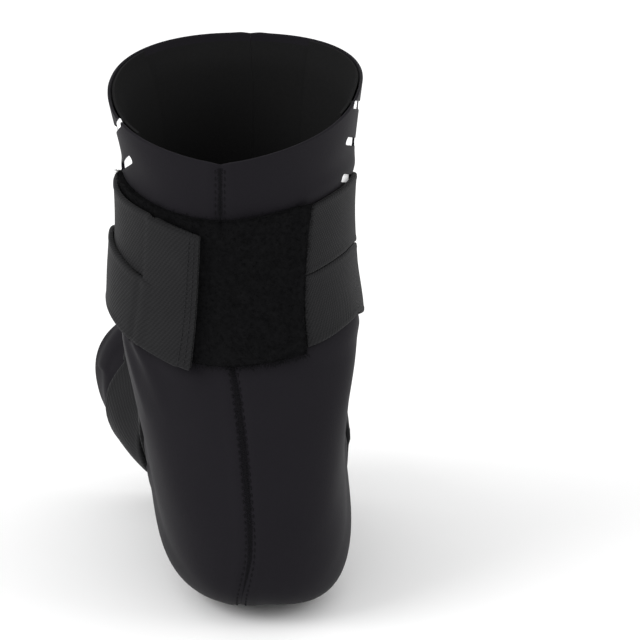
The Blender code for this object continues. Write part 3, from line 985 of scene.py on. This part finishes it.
        points = np.concatenate([outer, rim(-1, 1.0), inner[::-1], rim(0, -1.0)[::-1]])
        loop = len(points)
        quads = grid_quads(loop, self.columns + 1, wrap_rows=True)
        index = np.arange(loop * (self.columns + 1)).reshape(loop, self.columns + 1)
        shift = self.rim_steps // 2
        caps = [cap_quads(np.roll(index[:, edge], shift)) for edge in (0, -1)]
        faces = np.concatenate([quads, *caps])
        inside_start = self.rows + self.rim_steps // 2
        band = np.arange(len(quads)) // self.columns
        is_inside = (band >= inside_start) & (band < inside_start + self.rows)
        material = np.concatenate([is_inside.astype(int),
                                   np.zeros(len(faces) - len(quads), int)])
        stands_for = ("sleeve_panel_" + side.word,)
        finishes = [self.wardrobe.knit, self.wardrobe.inside]
        piece = Piece("sleeve_cloth_" + side.word, "sleeve_cloth", finishes, stands_for)
        return piece.build(points, faces, material_index=material)

    def cut(self, half: bpy.types.Object, slots: list) -> None:
        """Cut slots through one half by prisms with round ends, and keep the result.

        Args:
            half: the cloth to cut.
            slots: section, angle, heading and length of each slot.
        """
        shapes = bmesh.new()
        for section, angle, heading, length in slots:
            normal = FORM.outward(section, angle)
            along = unit(heading - normal * (heading @ normal))
            sideways = np.cross(normal, along)
            middle = FORM.point(section, angle)
            outline = SLOTS.outline(length, SLOTS.width, self.slot_steps)
            flat = middle + outline[:, :1] * along + outline[:, 1:] * sideways
            low = [shapes.verts.new(point) for point in flat - normal * 3.0 * FORM.cloth]
            high = [shapes.verts.new(point) for point in flat + normal * 2.0 * FORM.cloth]
            shapes.faces.new(low[::-1])
            shapes.faces.new(high)
            for i in range(len(flat)):
                j = (i + 1) % len(flat)
                shapes.faces.new((low[i], low[j], high[j], high[i]))
        bmesh.ops.recalc_face_normals(shapes, faces=shapes.faces)
        mesh = bpy.data.meshes.new(half.name + "_cutter")
        shapes.to_mesh(mesh)
        shapes.free()
        cutter = bpy.data.objects.new(half.name + "_cutter", mesh)
        bpy.context.scene.collection.objects.link(cutter)
        tool = half.modifiers.new("slots", "BOOLEAN")
        tool.operation, tool.solver, tool.object = "DIFFERENCE", "EXACT", cutter
        graph = bpy.context.evaluated_depsgraph_get()
        cut = bpy.data.meshes.new_from_object(half.evaluated_get(graph))
        half.modifiers.clear()
        half.data = cut
        cut.shade_smooth()
        cut.set_sharp_from_angle(angle=math.radians(50))
        bpy.data.objects.remove(cutter, do_unlink=True)
        LOG.info("%s: cut to %d faces", half.name, len(cut.polygons))

    def seam_stitches(self, name: str, middle_angle: float, node: str) -> None:
        """Two rows of stitches along a seam, with the cross threads of a flat seam.

        Args:
            name: the new piece's name.
            middle_angle: the seam's angle.
            node: the CAD seam that it stands for.
        """
        section = np.linspace(self.seam_margin, TOE_RIM - self.seam_margin, self.seam_samples)
        line = FORM.point(section, middle_angle)
        along = np.concatenate([[0.0], np.cumsum(np.linalg.norm(np.diff(line, axis=0), axis=1))])
        count = int(along[-1] / self.stitch_pitch)
        at = np.interp((np.arange(count) + 0.5) * self.stitch_pitch, along, section)
        _, around = FORM.slopes(at, middle_angle)
        degrees = self.seam_half / np.linalg.norm(around, axis=-1)
        stitches = Stitches(radius=self.stitch_radius)
        for way in (-1.0, 1.0):
            angle = middle_angle + way * degrees
            stitches.row(at, angle, self.stitch_pitch * self.stitch_share,
                         self.relief(at, angle))
        cross = Stitches(radius=self.cross_radius, rings=4, sides=4)
        steps = np.interp(np.arange(0.0, along[-1], self.cross_pitch), along, section)
        _, around = FORM.slopes(steps, middle_angle)
        reach = self.seam_half / np.linalg.norm(around, axis=-1)
        chance = np.random.default_rng(self.seed)
        ways = np.where(np.arange(len(steps)) % 2, 1.0, -1.0) * chance.uniform(0.7, 1.0, len(steps))
        start = (steps[:-1], middle_angle + (ways * reach)[:-1])
        end = (steps[1:], middle_angle + (ways * reach)[1:])
        cross.between(start, end, -self.valley * 0.5)
        points, faces = join_meshes([stitches.mesh(), cross.mesh()])
        Piece(name, "sleeve_cloth", [self.wardrobe.thread], (node,), 80.0).build(points, faces)

    def build(self) -> None:
        """Both halves with their slots, and both seams."""
        for side in Side:
            half = self.shell(side)
            self.cut(half, SLOTS.leg_slots(side) + SLOTS.arch_slots(self.pairs[side], side))
        self.seam_stitches("back_seam_stitches", 0.0, "back_seam")
        self.seam_stitches("front_seam_stitches", 180.0, "front_seam")


def join_meshes(meshes: list) -> tuple[Array, Array]:
    """Join pairs of points and quads into one pair."""
    offsets = np.cumsum([0] + [len(points) for points, _ in meshes[:-1]])
    points = np.concatenate([points for points, _ in meshes])
    faces = np.concatenate([faces + offset for (_, faces), offset in zip(meshes, offsets)])
    return points, faces


@dataclass
class Stitches:
    """Many small threads, each a closed tube bowed over the cloth."""

    radius: float = 0.00025
    rings: int = 5
    sides: int = 6
    bow: float = 0.9
    parts: list = field(default_factory=list)

    def tubes(self, start: Array, end: Array, lift: Array) -> None:
        """Add a tube for each pair of end points.

        A tube's middle line is the straight line from start to end, raised by the lift's
        vector times the sine of the share along it. Its radius swells from nearly nothing
        at the ends by the same sine's square root.

        Args:
            start: start points.
            end: end points.
            lift: vectors of the bow at the middle.
        """
        share = np.linspace(0.0, 1.0, self.rings)
        arch = np.sin(math.pi * share)
        line = (start[:, None] + (end - start)[:, None] * share[None, :, None]
                + lift[:, None] * arch[None, :, None])
        ahead = unit(end - start)
        up = unit(lift)
        sideways = np.cross(ahead, up)
        turn = np.arange(self.sides) * 2 * math.pi / self.sides
        round_ = (up[:, None] * np.cos(turn)[None, :, None]
                  + sideways[:, None] * np.sin(turn)[None, :, None])
        swell = self.radius * (0.25 + 0.75 * np.sqrt(arch))
        points = line[:, :, None] + round_[:, None] * swell[None, :, None, None]
        count = len(start)
        quads = grid_quads(self.rings, self.sides, wrap_columns=True)
        ring = np.arange(self.sides)
        caps = np.concatenate([cap_quads(ring), cap_quads(ring + (self.rings - 1) * self.sides)])
        one = np.concatenate([quads, caps])
        size = self.rings * self.sides
        faces = one[None] + (np.arange(count) * size)[:, None, None]
        self.parts.append((points.reshape(-1, 3), faces.reshape(-1, 4)))

    def row(self, section: Array, angle: Array, length: float, height: Array) -> None:
        """Stitches along a line over the cloth, one at each place of it."""
        line = FORM.raised(section, angle, height)
        ahead = unit(np.gradient(line, axis=0))
        lift = FORM.outward(section, angle) * self.radius * self.bow
        self.tubes(line - ahead * length / 2, line + ahead * length / 2, lift)

    def between(self, start: tuple, end: tuple, height: float) -> None:
        """Stitches from one list of places to another, at a height off the cloth."""
        lift = FORM.outward(*start) * self.radius * self.bow
        self.tubes(FORM.raised(*start, height), FORM.raised(*end, height), lift)

    def mesh(self) -> tuple[Array, Array]:
        """All the threads as points and quads."""
        return join_meshes(self.parts)


@dataclass
class Strip:
    """A flat woven strip with rounded selvedges, laid along a route."""

    route: Route
    middle: Array
    width: float
    thickness: float
    lift: Array
    columns: int = 26
    edge_steps: int = 4
    selvedge: float = 0.00018
    selvedge_width: float = 0.0013
    sink: float = 0.00045
    end_share: float = 0.55

    def profile(self) -> tuple[Array, Array]:
        """The strip's cross section as a closed ring of offsets and heights.

        The top runs from one edge to the other with a low bead along each edge, the edges
        are half circles, and the bottom runs back.

        Returns:
            Offsets across and heights above the underside, in metres.
        """
        radius = self.thickness / 2
        half = self.width / 2 - radius
        across = np.linspace(-half, half, self.columns + 1)
        from_edge = half - np.abs(across)
        top = self.thickness + self.selvedge * hump(from_edge, self.selvedge_width / 2,
                                                    self.selvedge_width / 2)
        turn = np.linspace(0.0, math.pi, self.edge_steps + 2)[1:-1]
        edge_across = half + radius * np.sin(turn)
        edge_height = radius + radius * np.cos(turn)
        offsets = np.concatenate([across, edge_across, across[::-1], -edge_across[::-1]])
        heights = np.concatenate([top, edge_height, np.zeros(len(across)), edge_height[::-1]])
        return offsets, heights

    def places(self) -> tuple[Array, Array, Array]:
        """Sections, angles and heights of the whole strip, a row for each station."""
        offsets, heights = self.profile()
        grid = np.asarray(self.middle)[:, None] + offsets[None, :]
        section, angle = self.route.beside(grid)
        thin = heights < self.thickness / 2
        raised = np.asarray(self.lift)[:, None] + heights[None, :]
        raised = raised - self.sink * thin[None, :]
        return section, angle, raised

    def mesh(self) -> tuple[Array, Array, Array]:
        """Closed strip as points, quads and the weave map.

        Each ring of the profile is carried along the route, and the two end rings shrink
        toward the strip's mid height and are closed.
        """
        section, angle, raised = self.places()
        middle = (np.asarray(self.lift)[:, None] + self.thickness / 2)
        for row in (0, -1):
            raised[row] = middle[row] + (raised[row] - middle[row]) * self.end_share
        points = FORM.raised(section, angle, raised)
        rows, ring = section.shape
        faces = grid_quads(rows, ring, wrap_columns=True)
        index = np.arange(rows * ring).reshape(rows, ring)
        shift = self.edge_steps // 2
        caps = [cap_quads(np.roll(index[row], shift)) for row in (0, -1)]
        offsets, _ = self.profile()
        along = np.repeat(self.route.along[:, None], ring, 1)
        weave = np.stack([along, np.repeat(offsets[None], rows, 0)], -1)
        return points.reshape(-1, 3), np.concatenate([faces, *caps]), weave.reshape(-1, 2)

    def stitch_line(self, offset_from: float, offset_to: float, station: float,
                    pitch: float) -> tuple[Array, Array, Array]:
        """Places of a straight line of stitches across the strip at a station."""
        count = max(2, int(abs(offset_to - offset_from) / pitch))
        offsets = np.linspace(offset_from, offset_to, count)[None, :]
        section, angle = one_station(self.route, station).beside(offsets)
        lift = np.interp(station, self.route.along, self.lift)
        return section[0], angle[0], np.full(count, lift + self.thickness)


def one_station(route: Route, at: float) -> Route:
    """A route cut down to a single station at a distance from its start."""
    single = Route.__new__(Route)
    angles = np.degrees(np.unwrap(np.radians(route.angle)))
    single.angle = np.array([np.interp(at, route.along, angles)])
    single.section = np.array([np.interp(at, route.along, route.section)])
    single.slant = np.array([np.interp(at, route.along, route.slant)])
    single.ahead = np.array([[np.interp(at, route.along, line) for line in route.ahead.T]])
    single.side = np.array([[np.interp(at, route.along, line) for line in route.side.T]])
    return single


@dataclass
class BandPair:
    """Two elastic bands side by side."""

    letter: str
    route: Route
    upward: float
    wardrobe: Wardrobe
    overlap_spread: float = 1.0
    overlap_fade: float = 0.03
    stretch: float = 0.0005
    step_down: float = 0.003
    least_on_hook: float = 0.25

    def lift(self) -> Array:
        """Underside of the upper band off the sleeve at each station.

        Pair B comes down off its hook patch in a short step past the patch's edge.
        """
        over = np.zeros(len(self.route.along))
        if self.letter == "b":
            edge = LAYERS.hook_length
            off = smooth_step(self.route.along, edge, edge + self.step_down)
            over = 1.0 - off * (1.0 - np.minimum(self.route.on_hook, self.least_on_hook))
        return self.route.base_lift + over * (LAYERS.hook + FORM.clearance)

    def build(self) -> None:
        """Both bands."""
        middle = self.route.spread * LAYERS.band_width / 2
        ride = np.clip((self.overlap_spread - self.route.spread) / self.overlap_fade + 1.0, 0, 1)
        climb = ride * (LAYERS.band + FORM.clearance)
        for word, way, lift in (("upper", self.upward, self.lift()),
                                ("lower", -self.upward, self.lift() + climb)):
            name = f"strap_{self.letter}_{word}"
            width = LAYERS.band_width + self.stretch
            strip = Strip(self.route, middle * way, width, LAYERS.band, lift)
            points, faces, weave = strip.mesh()
            Piece("band_" + self.letter + "_" + word, "band_elastic", [self.wardrobe.elastic],
                  (name,)).build(points, faces, weave)


@dataclass
class BandEnd:
    """Wide elastic cover over pair B's free end, with its double row of stitches."""

    wardrobe: Wardrobe
    length: float = 0.0185
    thickness: float = 0.00055
    bite: float = 0.00015
    width_share: float = 2.03
    rows_at: tuple = (0.0013, 0.0030)
    row_inset: float = 0.0010
    pitch: float = 0.0016
    thread_radius: float = 0.00024

    def build(self) -> None:
        """The cover, the stitches across it and the hook patch under it."""
        route = Route(PAIR_B_ROUTE, 0.0008, 0.0, self.length)
        over = LAYERS.hook + FORM.clearance
        lift = route.base_lift + over + LAYERS.band - self.bite
        width = LAYERS.band_width * self.width_share
        strip = Strip(route, np.zeros(len(lift)), width, self.thickness, lift, columns=48)
        points, faces, weave = strip.mesh()
        Piece("band_b_end", "band_elastic", [self.wardrobe.elastic]).build(points, faces, weave)
        threads = Stitches(radius=self.thread_radius)
        edge = width / 2 - self.row_inset
        for at in self.rows_at:
            section, angle, height = strip.stitch_line(-edge, edge, at, self.pitch)
            threads.row(section, angle, self.pitch * 0.7, height)
        points, faces = threads.mesh()
        Piece("band_b_end_stitches", "band_elastic", [self.wardrobe.band_thread], (),
              80.0).build(points, faces)
        hook = Route(PAIR_B_ROUTE, 0.0012, 0.0, LAYERS.hook_length)
        patch = Strip(hook, np.zeros(len(hook.along)), 2 * LAYERS.band_width, LAYERS.hook,
                      hook.base_lift, columns=40, selvedge=0.0)
        points, faces, weave = patch.mesh()
        Piece("hook_patch_face", "band_elastic", [self.wardrobe.elastic],
              ("hook_patch",)).build(points, faces, weave)


@dataclass
class PilePanel:
    """Panel of brushed loops on the back of the leg, with its fuzz."""

    wardrobe: Wardrobe
    fibres: int = 9000
    edge_fibres: int = 1600
    fibre_length: float = 0.0012
    edge_length: float = 0.0016
    fibre_radius: float = 0.00007
    over_band: float = 1.4
    band_step: tuple = (0.0016, 0.0050)
    lump: float = 0.00009
    edge_scatter: float = 0.0004
    end_share: float = 0.15
    end_reach: float = 0.4
    upright: float = 0.45
    scatter: float = 0.75
    push: float = 0.9
    least_rise: float = 0.12
    curl: float = 0.35
    curl_scatter: float = 0.0001
    seed: int = 11

    def fuzz(self, strip: Strip) -> tuple[Array, Array]:
        """Bent fibres that stand on the panel, more of them along its edges.

        A fibre starts at a random place, leans by a random vector and is a thin tube.

        Args:
            strip: the panel's cloth.

        Returns:
            Points and quads of all fibres.
        """
        chance = np.random.default_rng(self.seed)
        half = LAYERS.pile_height / 2
        route = strip.route
        count = self.fibres + self.edge_fibres
        station = chance.uniform(0, len(route.along) - 1.001, count)
        offset = chance.uniform(-half, half, count)
        rim = np.where(chance.random(self.edge_fibres) < 0.5, -half, half)
        offset[self.fibres:] = rim + chance.normal(0.0, self.edge_scatter, self.edge_fibres)
        ends = chance.random(self.edge_fibres) < self.end_share
        station[self.fibres:][ends] = chance.uniform(0.0, self.end_reach, ends.sum())
        offset[self.fibres:][ends] = chance.uniform(-half, half, ends.sum())
        angles = np.degrees(np.unwrap(np.radians(route.angle)))
        index = np.arange(len(route.along))

        def read(column: Array) -> Array:
            """A column of the route at the fibres' stations."""
            return np.interp(station, index, column)

        side = np.stack([read(line) for line in route.side.T], -1)
        ahead = np.stack([read(line) for line in route.ahead.T], -1)
        lean = side + ahead * np.tan(read(route.slant))[:, None]
        reach = offset / np.cos(read(route.slant))
        section, angle = FORM.walk(read(route.section), read(angles), lean, reach)
        normal = FORM.outward(section, angle)
        root = FORM.raised(section, angle, read(strip.lift) + LAYERS.pile * 0.8)
        outward_edge = side * np.sign(offset)[:, None]
        length = np.full(count, self.fibre_length)
        length[self.fibres:] = self.edge_length
        length = length * chance.uniform(0.5, 1.3, count)
        push = np.zeros(count)
        push[self.fibres:] = self.push
        way = unit(normal * self.upright + chance.normal(0.0, self.scatter, (count, 3))
                   + outward_edge * push[:, None])
        rise = np.sum(way * normal, -1)
        way = way + normal * np.clip(self.least_rise - rise, 0, None)[:, None]
        tip = root + way * length[:, None]
        threads = Stitches(radius=self.fibre_radius, rings=3, sides=4, bow=1.0)
        curl = normal * (length * self.curl)[:, None]
        curl = curl + chance.normal(0.0, self.curl_scatter, (count, 3))
        threads.tubes(root, tip, curl)
        return threads.mesh()

    def build(self) -> None:
        """The panel's cloth with a lumpy face, and its fuzz."""
        first = (PILE_ROUTE[0][0] - self.over_band, *PILE_ROUTE[0][1:])
        route = Route((first, *PILE_ROUTE[1:]), 0.0009)
        over = 1.0 - smooth_step(route.along, *self.band_step)
        lift = route.base_lift + over * LAYERS.band
        strip = Strip(route, np.zeros(len(lift)), LAYERS.pile_height, LAYERS.pile, lift,
                      columns=64, selvedge=0.0)
        points, faces, weave = strip.mesh()
        chance = np.random.default_rng(self.seed + 1)
        points = points + chance.normal(0.0, self.lump, points.shape)
        panel = Piece("pile_panel", "pile", [self.wardrobe.pile],
                      ("loop_panel",)).build(points, faces, weave)
        fuzz_points, fuzz_faces = self.fuzz(strip)
        fuzz = Piece("pile_fuzz", "pile", [self.wardrobe.pile], (), 80.0)
        fuzz = fuzz.build(fuzz_points, fuzz_faces)


@dataclass
class SoleAnchor:
    """Patch under the arch over the ends of the four bands, sewn round its edge."""

    wardrobe: Wardrobe
    inset: float = 0.0022
    pitch: float = 0.0019
    thread_radius: float = 0.00026

    def build(self) -> None:
        """The patch and its box of stitches."""
        route = Route(ANCHOR_ROUTE, 0.0012)
        strip = Strip(route, np.zeros(len(route.along)), LAYERS.anchor_width, LAYERS.anchor,
                      route.base_lift, columns=26)
        points, faces, weave = strip.mesh()
        Piece("sole_patch", "band_elastic", [self.wardrobe.elastic],
              ("sole_anchor",)).build(points, faces, weave)
        threads = Stitches(radius=self.thread_radius)
        edge = LAYERS.anchor_width / 2 - self.inset
        total = float(route.along[-1])
        for at in (self.inset, total - self.inset):
            section, angle, height = strip.stitch_line(-edge, edge, at, self.pitch)
            threads.row(section, angle, self.pitch * 0.7, height)
        stations = np.arange(self.inset + self.pitch, total - self.inset, self.pitch)
        for offset in (-edge, edge):
            places = [strip.stitch_line(offset, offset, at, self.pitch) for at in stations]
            section = np.array([place[0][0] for place in places])
            angle = np.array([place[1][0] for place in places])
            height = np.array([place[2][0] for place in places])
            threads.row(section, angle, self.pitch * 0.7, height)
        points, faces = threads.mesh()
        Piece("sole_patch_stitches", "band_elastic", [self.wardrobe.band_thread], (),
              80.0).build(points, faces)


@dataclass
class Backing:
    """Thin strip inside the sleeve behind a field of slots, raised into each slot."""

    node: str
    slots: list
    wardrobe: Wardrobe
    thickness: float = 0.0008
    margin: float = 0.0040
    rim_margin: float = 0.0012
    pad_gap: float = 0.00012
    pad_depth: float = 0.0009
    pad_sink: float = 0.0002
    steps: int = 6
    grid: tuple = (40, 24)

    def sheet(self) -> tuple[Array, Array]:
        """The strip, a grid of sections and angles with an outer and an inner face."""
        reach = []
        for section, angle, heading, length in self.slots:
            for way in (-1.0, 1.0):
                reach.append(FORM.walk(section, angle, heading * way, length / 2 + self.margin))
        section, angle = np.array(reach).T
        down, _ = FORM.slopes(0.0, float(angle.mean()))
        top = max(section.min(), self.rim_margin / np.linalg.norm(down))
        rows, columns = self.grid
        grid_section = np.linspace(top, section.max(), rows)[:, None]
        grid_angle = np.linspace(angle.min(), angle.max(), columns)[None, :]
        depth = -FORM.wall(grid_section + 0.0 * grid_angle) - FORM.clearance
        outer = FORM.raised(grid_section, grid_angle, depth)
        inner = FORM.raised(grid_section, grid_angle, depth - self.thickness)
        front = grid_quads(rows, columns)
        index = np.arange(rows * columns).reshape(rows, columns)
        edge = np.concatenate([index[:-1, 0], index[-1, :-1], index[:0:-1, -1], index[0, :0:-1]])
        ahead = np.roll(edge, -1)
        behind = rows * columns
        sides = np.stack([edge, edge + behind, ahead + behind, ahead], -1)
        faces = np.concatenate([front, front[:, ::-1] + behind, sides])
        return np.concatenate([outer.reshape(-1, 3), inner.reshape(-1, 3)]), faces

    def pads(self) -> tuple[Array, Array, Array]:
        """A low pad in each slot, of the slot's outline less a gap.

        Each outline point is walked over the cloth from the slot's middle, so that the
        pad's face follows the sleeve a little below its outer surface.

        Returns:
            Points, quads, and for each quad a 0 on the pad's face and a 1 elsewhere.
        """
        parts, dark = [], []
        for section, angle, heading, length in self.slots:
            normal = FORM.outward(section, angle)
            along = unit(heading - normal * (heading @ normal))
            sideways = np.cross(normal, along)
            outline = SLOTS.long_outline(length - 2 * self.pad_gap,
                                         SLOTS.width - 2 * self.pad_gap, self.steps)
            offset = outline[:, :1] * along + outline[:, 1:] * sideways
            count = len(outline)
            far = np.linalg.norm(offset, axis=-1)
            at, turned = FORM.walk(np.full(count, section), np.full(count, angle), offset, far)
            top = FORM.raised(at, turned, np.full(count, -self.pad_depth))
            low = FORM.raised(at, turned, -FORM.wall(at) - FORM.clearance - self.pad_sink)
            ring = np.arange(count)
            walls = grid_quads(2, count, wrap_columns=True)
            lids = [cap_quads(ring + base) for base in (0, count)]
            parts.append((np.concatenate([top, low]), np.concatenate([*lids, walls])))
            dark.append(np.arange(len(lids[0]) * 2 + len(walls)) >= len(lids[0]))
        return *join_meshes(parts), np.concatenate(dark).astype(int)

    def build(self) -> None:
        """The strip and its pads as one piece."""
        points, faces = self.sheet()
        pad_points, pad_faces, pad_dark = self.pads()
        all_points, all_faces = join_meshes([(points, faces), (pad_points, pad_faces)])
        material = np.concatenate([np.ones(len(faces), int), pad_dark])
        piece = Piece(self.node + "_face", "backing_cloth",
                      [self.wardrobe.white, self.wardrobe.inside], (self.node,))
        piece.build(all_points, all_faces, material_index=material)


@dataclass
class Studio:
    """Pale floor, soft light and the camera at the photograph's angle."""

    azimuth: float = 186.0
    elevation: float = 19.0
    distance: float = 1.1
    lens: float = 177.6
    aim_right: float = 0.0284
    aim_up: float = 0.0139
    sensor: float = 36.0
    floor_size: float = 6.0
    floor_gap: float = 0.0004
    key: tuple = ((2.1, 1.2, 1.7), 1.8, 42.0)
    fill: tuple = ((-2.2, 0.3, 1.2), 1.4, 12.0)
    world_strength: float = 0.95

    def floor(self) -> None:
        """Wide pale sheet just under the sleeve."""
        low = min(CAD_BOX[0][2], CAD_BOX[1][2])
        half = self.floor_size / 2
        z = low - self.floor_gap
        corners = [(-half, -half, z), (half, -half, z), (half, half, z), (-half, half, z)]
        mesh = bpy.data.meshes.new("studio_floor")
        mesh.from_pydata(corners, [], [(0, 1, 2, 3)])
        shader = Shader("floor_paper", 1.0, 0.0)
        grain = shader.noise(0.02, 2.0)
        shader.feed("Base Color", shader.mix(grain, (0.96, 0.96, 0.96), (0.97, 0.97, 0.97)))
        mesh.materials.append(shader.material)
        floor = bpy.data.objects.new("studio_floor", mesh)
        bpy.context.scene.collection.objects.link(floor)

    def light(self, name: str, place: tuple, size: float, power: float) -> None:
        """Square soft light that points at the sleeve."""
        lamp = bpy.data.lights.new(name, "AREA")
        lamp.size, lamp.energy = size, power
        holder = bpy.data.objects.new(name, lamp)
        holder.location = place
        holder.rotation_euler = (-Vector(place)).to_track_quat("-Z", "Y").to_euler()
        bpy.context.scene.collection.objects.link(holder)

    def camera(self) -> None:
        """Long lens at the photograph's angle, aimed so that the sleeve stands at the left."""
        turn, rise = math.radians(self.azimuth), math.radians(self.elevation)
        back = Vector((math.sin(turn) * math.cos(rise), -math.cos(turn) * math.cos(rise),
                       math.sin(rise)))
        right = Vector((math.cos(turn), math.sin(turn), 0.0))
        up = back.cross(right)
        data = bpy.data.cameras.new("studio_camera")
        data.lens, data.sensor_width, data.clip_start = self.lens, self.sensor, 0.05
        camera = bpy.data.objects.new("studio_camera", data)
        camera.location = back * self.distance
        aim = right * self.aim_right + up * self.aim_up
        camera.rotation_euler = (aim - camera.location).to_track_quat("-Z", "Y").to_euler()
        bpy.context.scene.collection.objects.link(camera)
        bpy.context.scene.camera = camera

    def build(self) -> None:
        """Floor, lights, world and camera."""
        self.floor()
        self.light("window_left", *self.key)
        self.light("window_right", *self.fill)
        world = bpy.data.worlds.new("studio_world")
        world.use_nodes = True
        background = world.node_tree.nodes["Background"].inputs
        background["Color"].default_value = (1.0, 1.0, 1.0, 1.0)
        background["Strength"].default_value = self.world_strength
        bpy.context.scene.world = world
        bpy.context.scene.view_settings.view_transform = "Standard"
        self.camera()


def main() -> None:
    """Build every sub-assembly in order, then the studio."""
    logging.basicConfig(level=logging.INFO, format="%(name)s: %(message)s")
    wardrobe = Wardrobe()
    route_a, route_b = Route(PAIR_A_ROUTE, 0.0011), Route(PAIR_B_ROUTE, 0.0011)
    pairs = {Side.LEFT: route_a, Side.RIGHT: route_b}
    SleeveCloth(wardrobe, pairs).build()
    BandPair("a", route_a, -1.0, wardrobe).build()
    BandPair("b", route_b, 1.0, wardrobe).build()
    BandEnd(wardrobe).build()
    PilePanel(wardrobe).build()
    SoleAnchor(wardrobe).build()
    for side in Side:
        leg, arch = SLOTS.leg_slots(side), SLOTS.arch_slots(pairs[side], side)
        Backing("vent_backing_" + side.word, leg, wardrobe).build()
        Backing("arch_backing_" + side.word, arch, wardrobe).build()
    Studio().build()


if __name__ == "__main__":
    main()
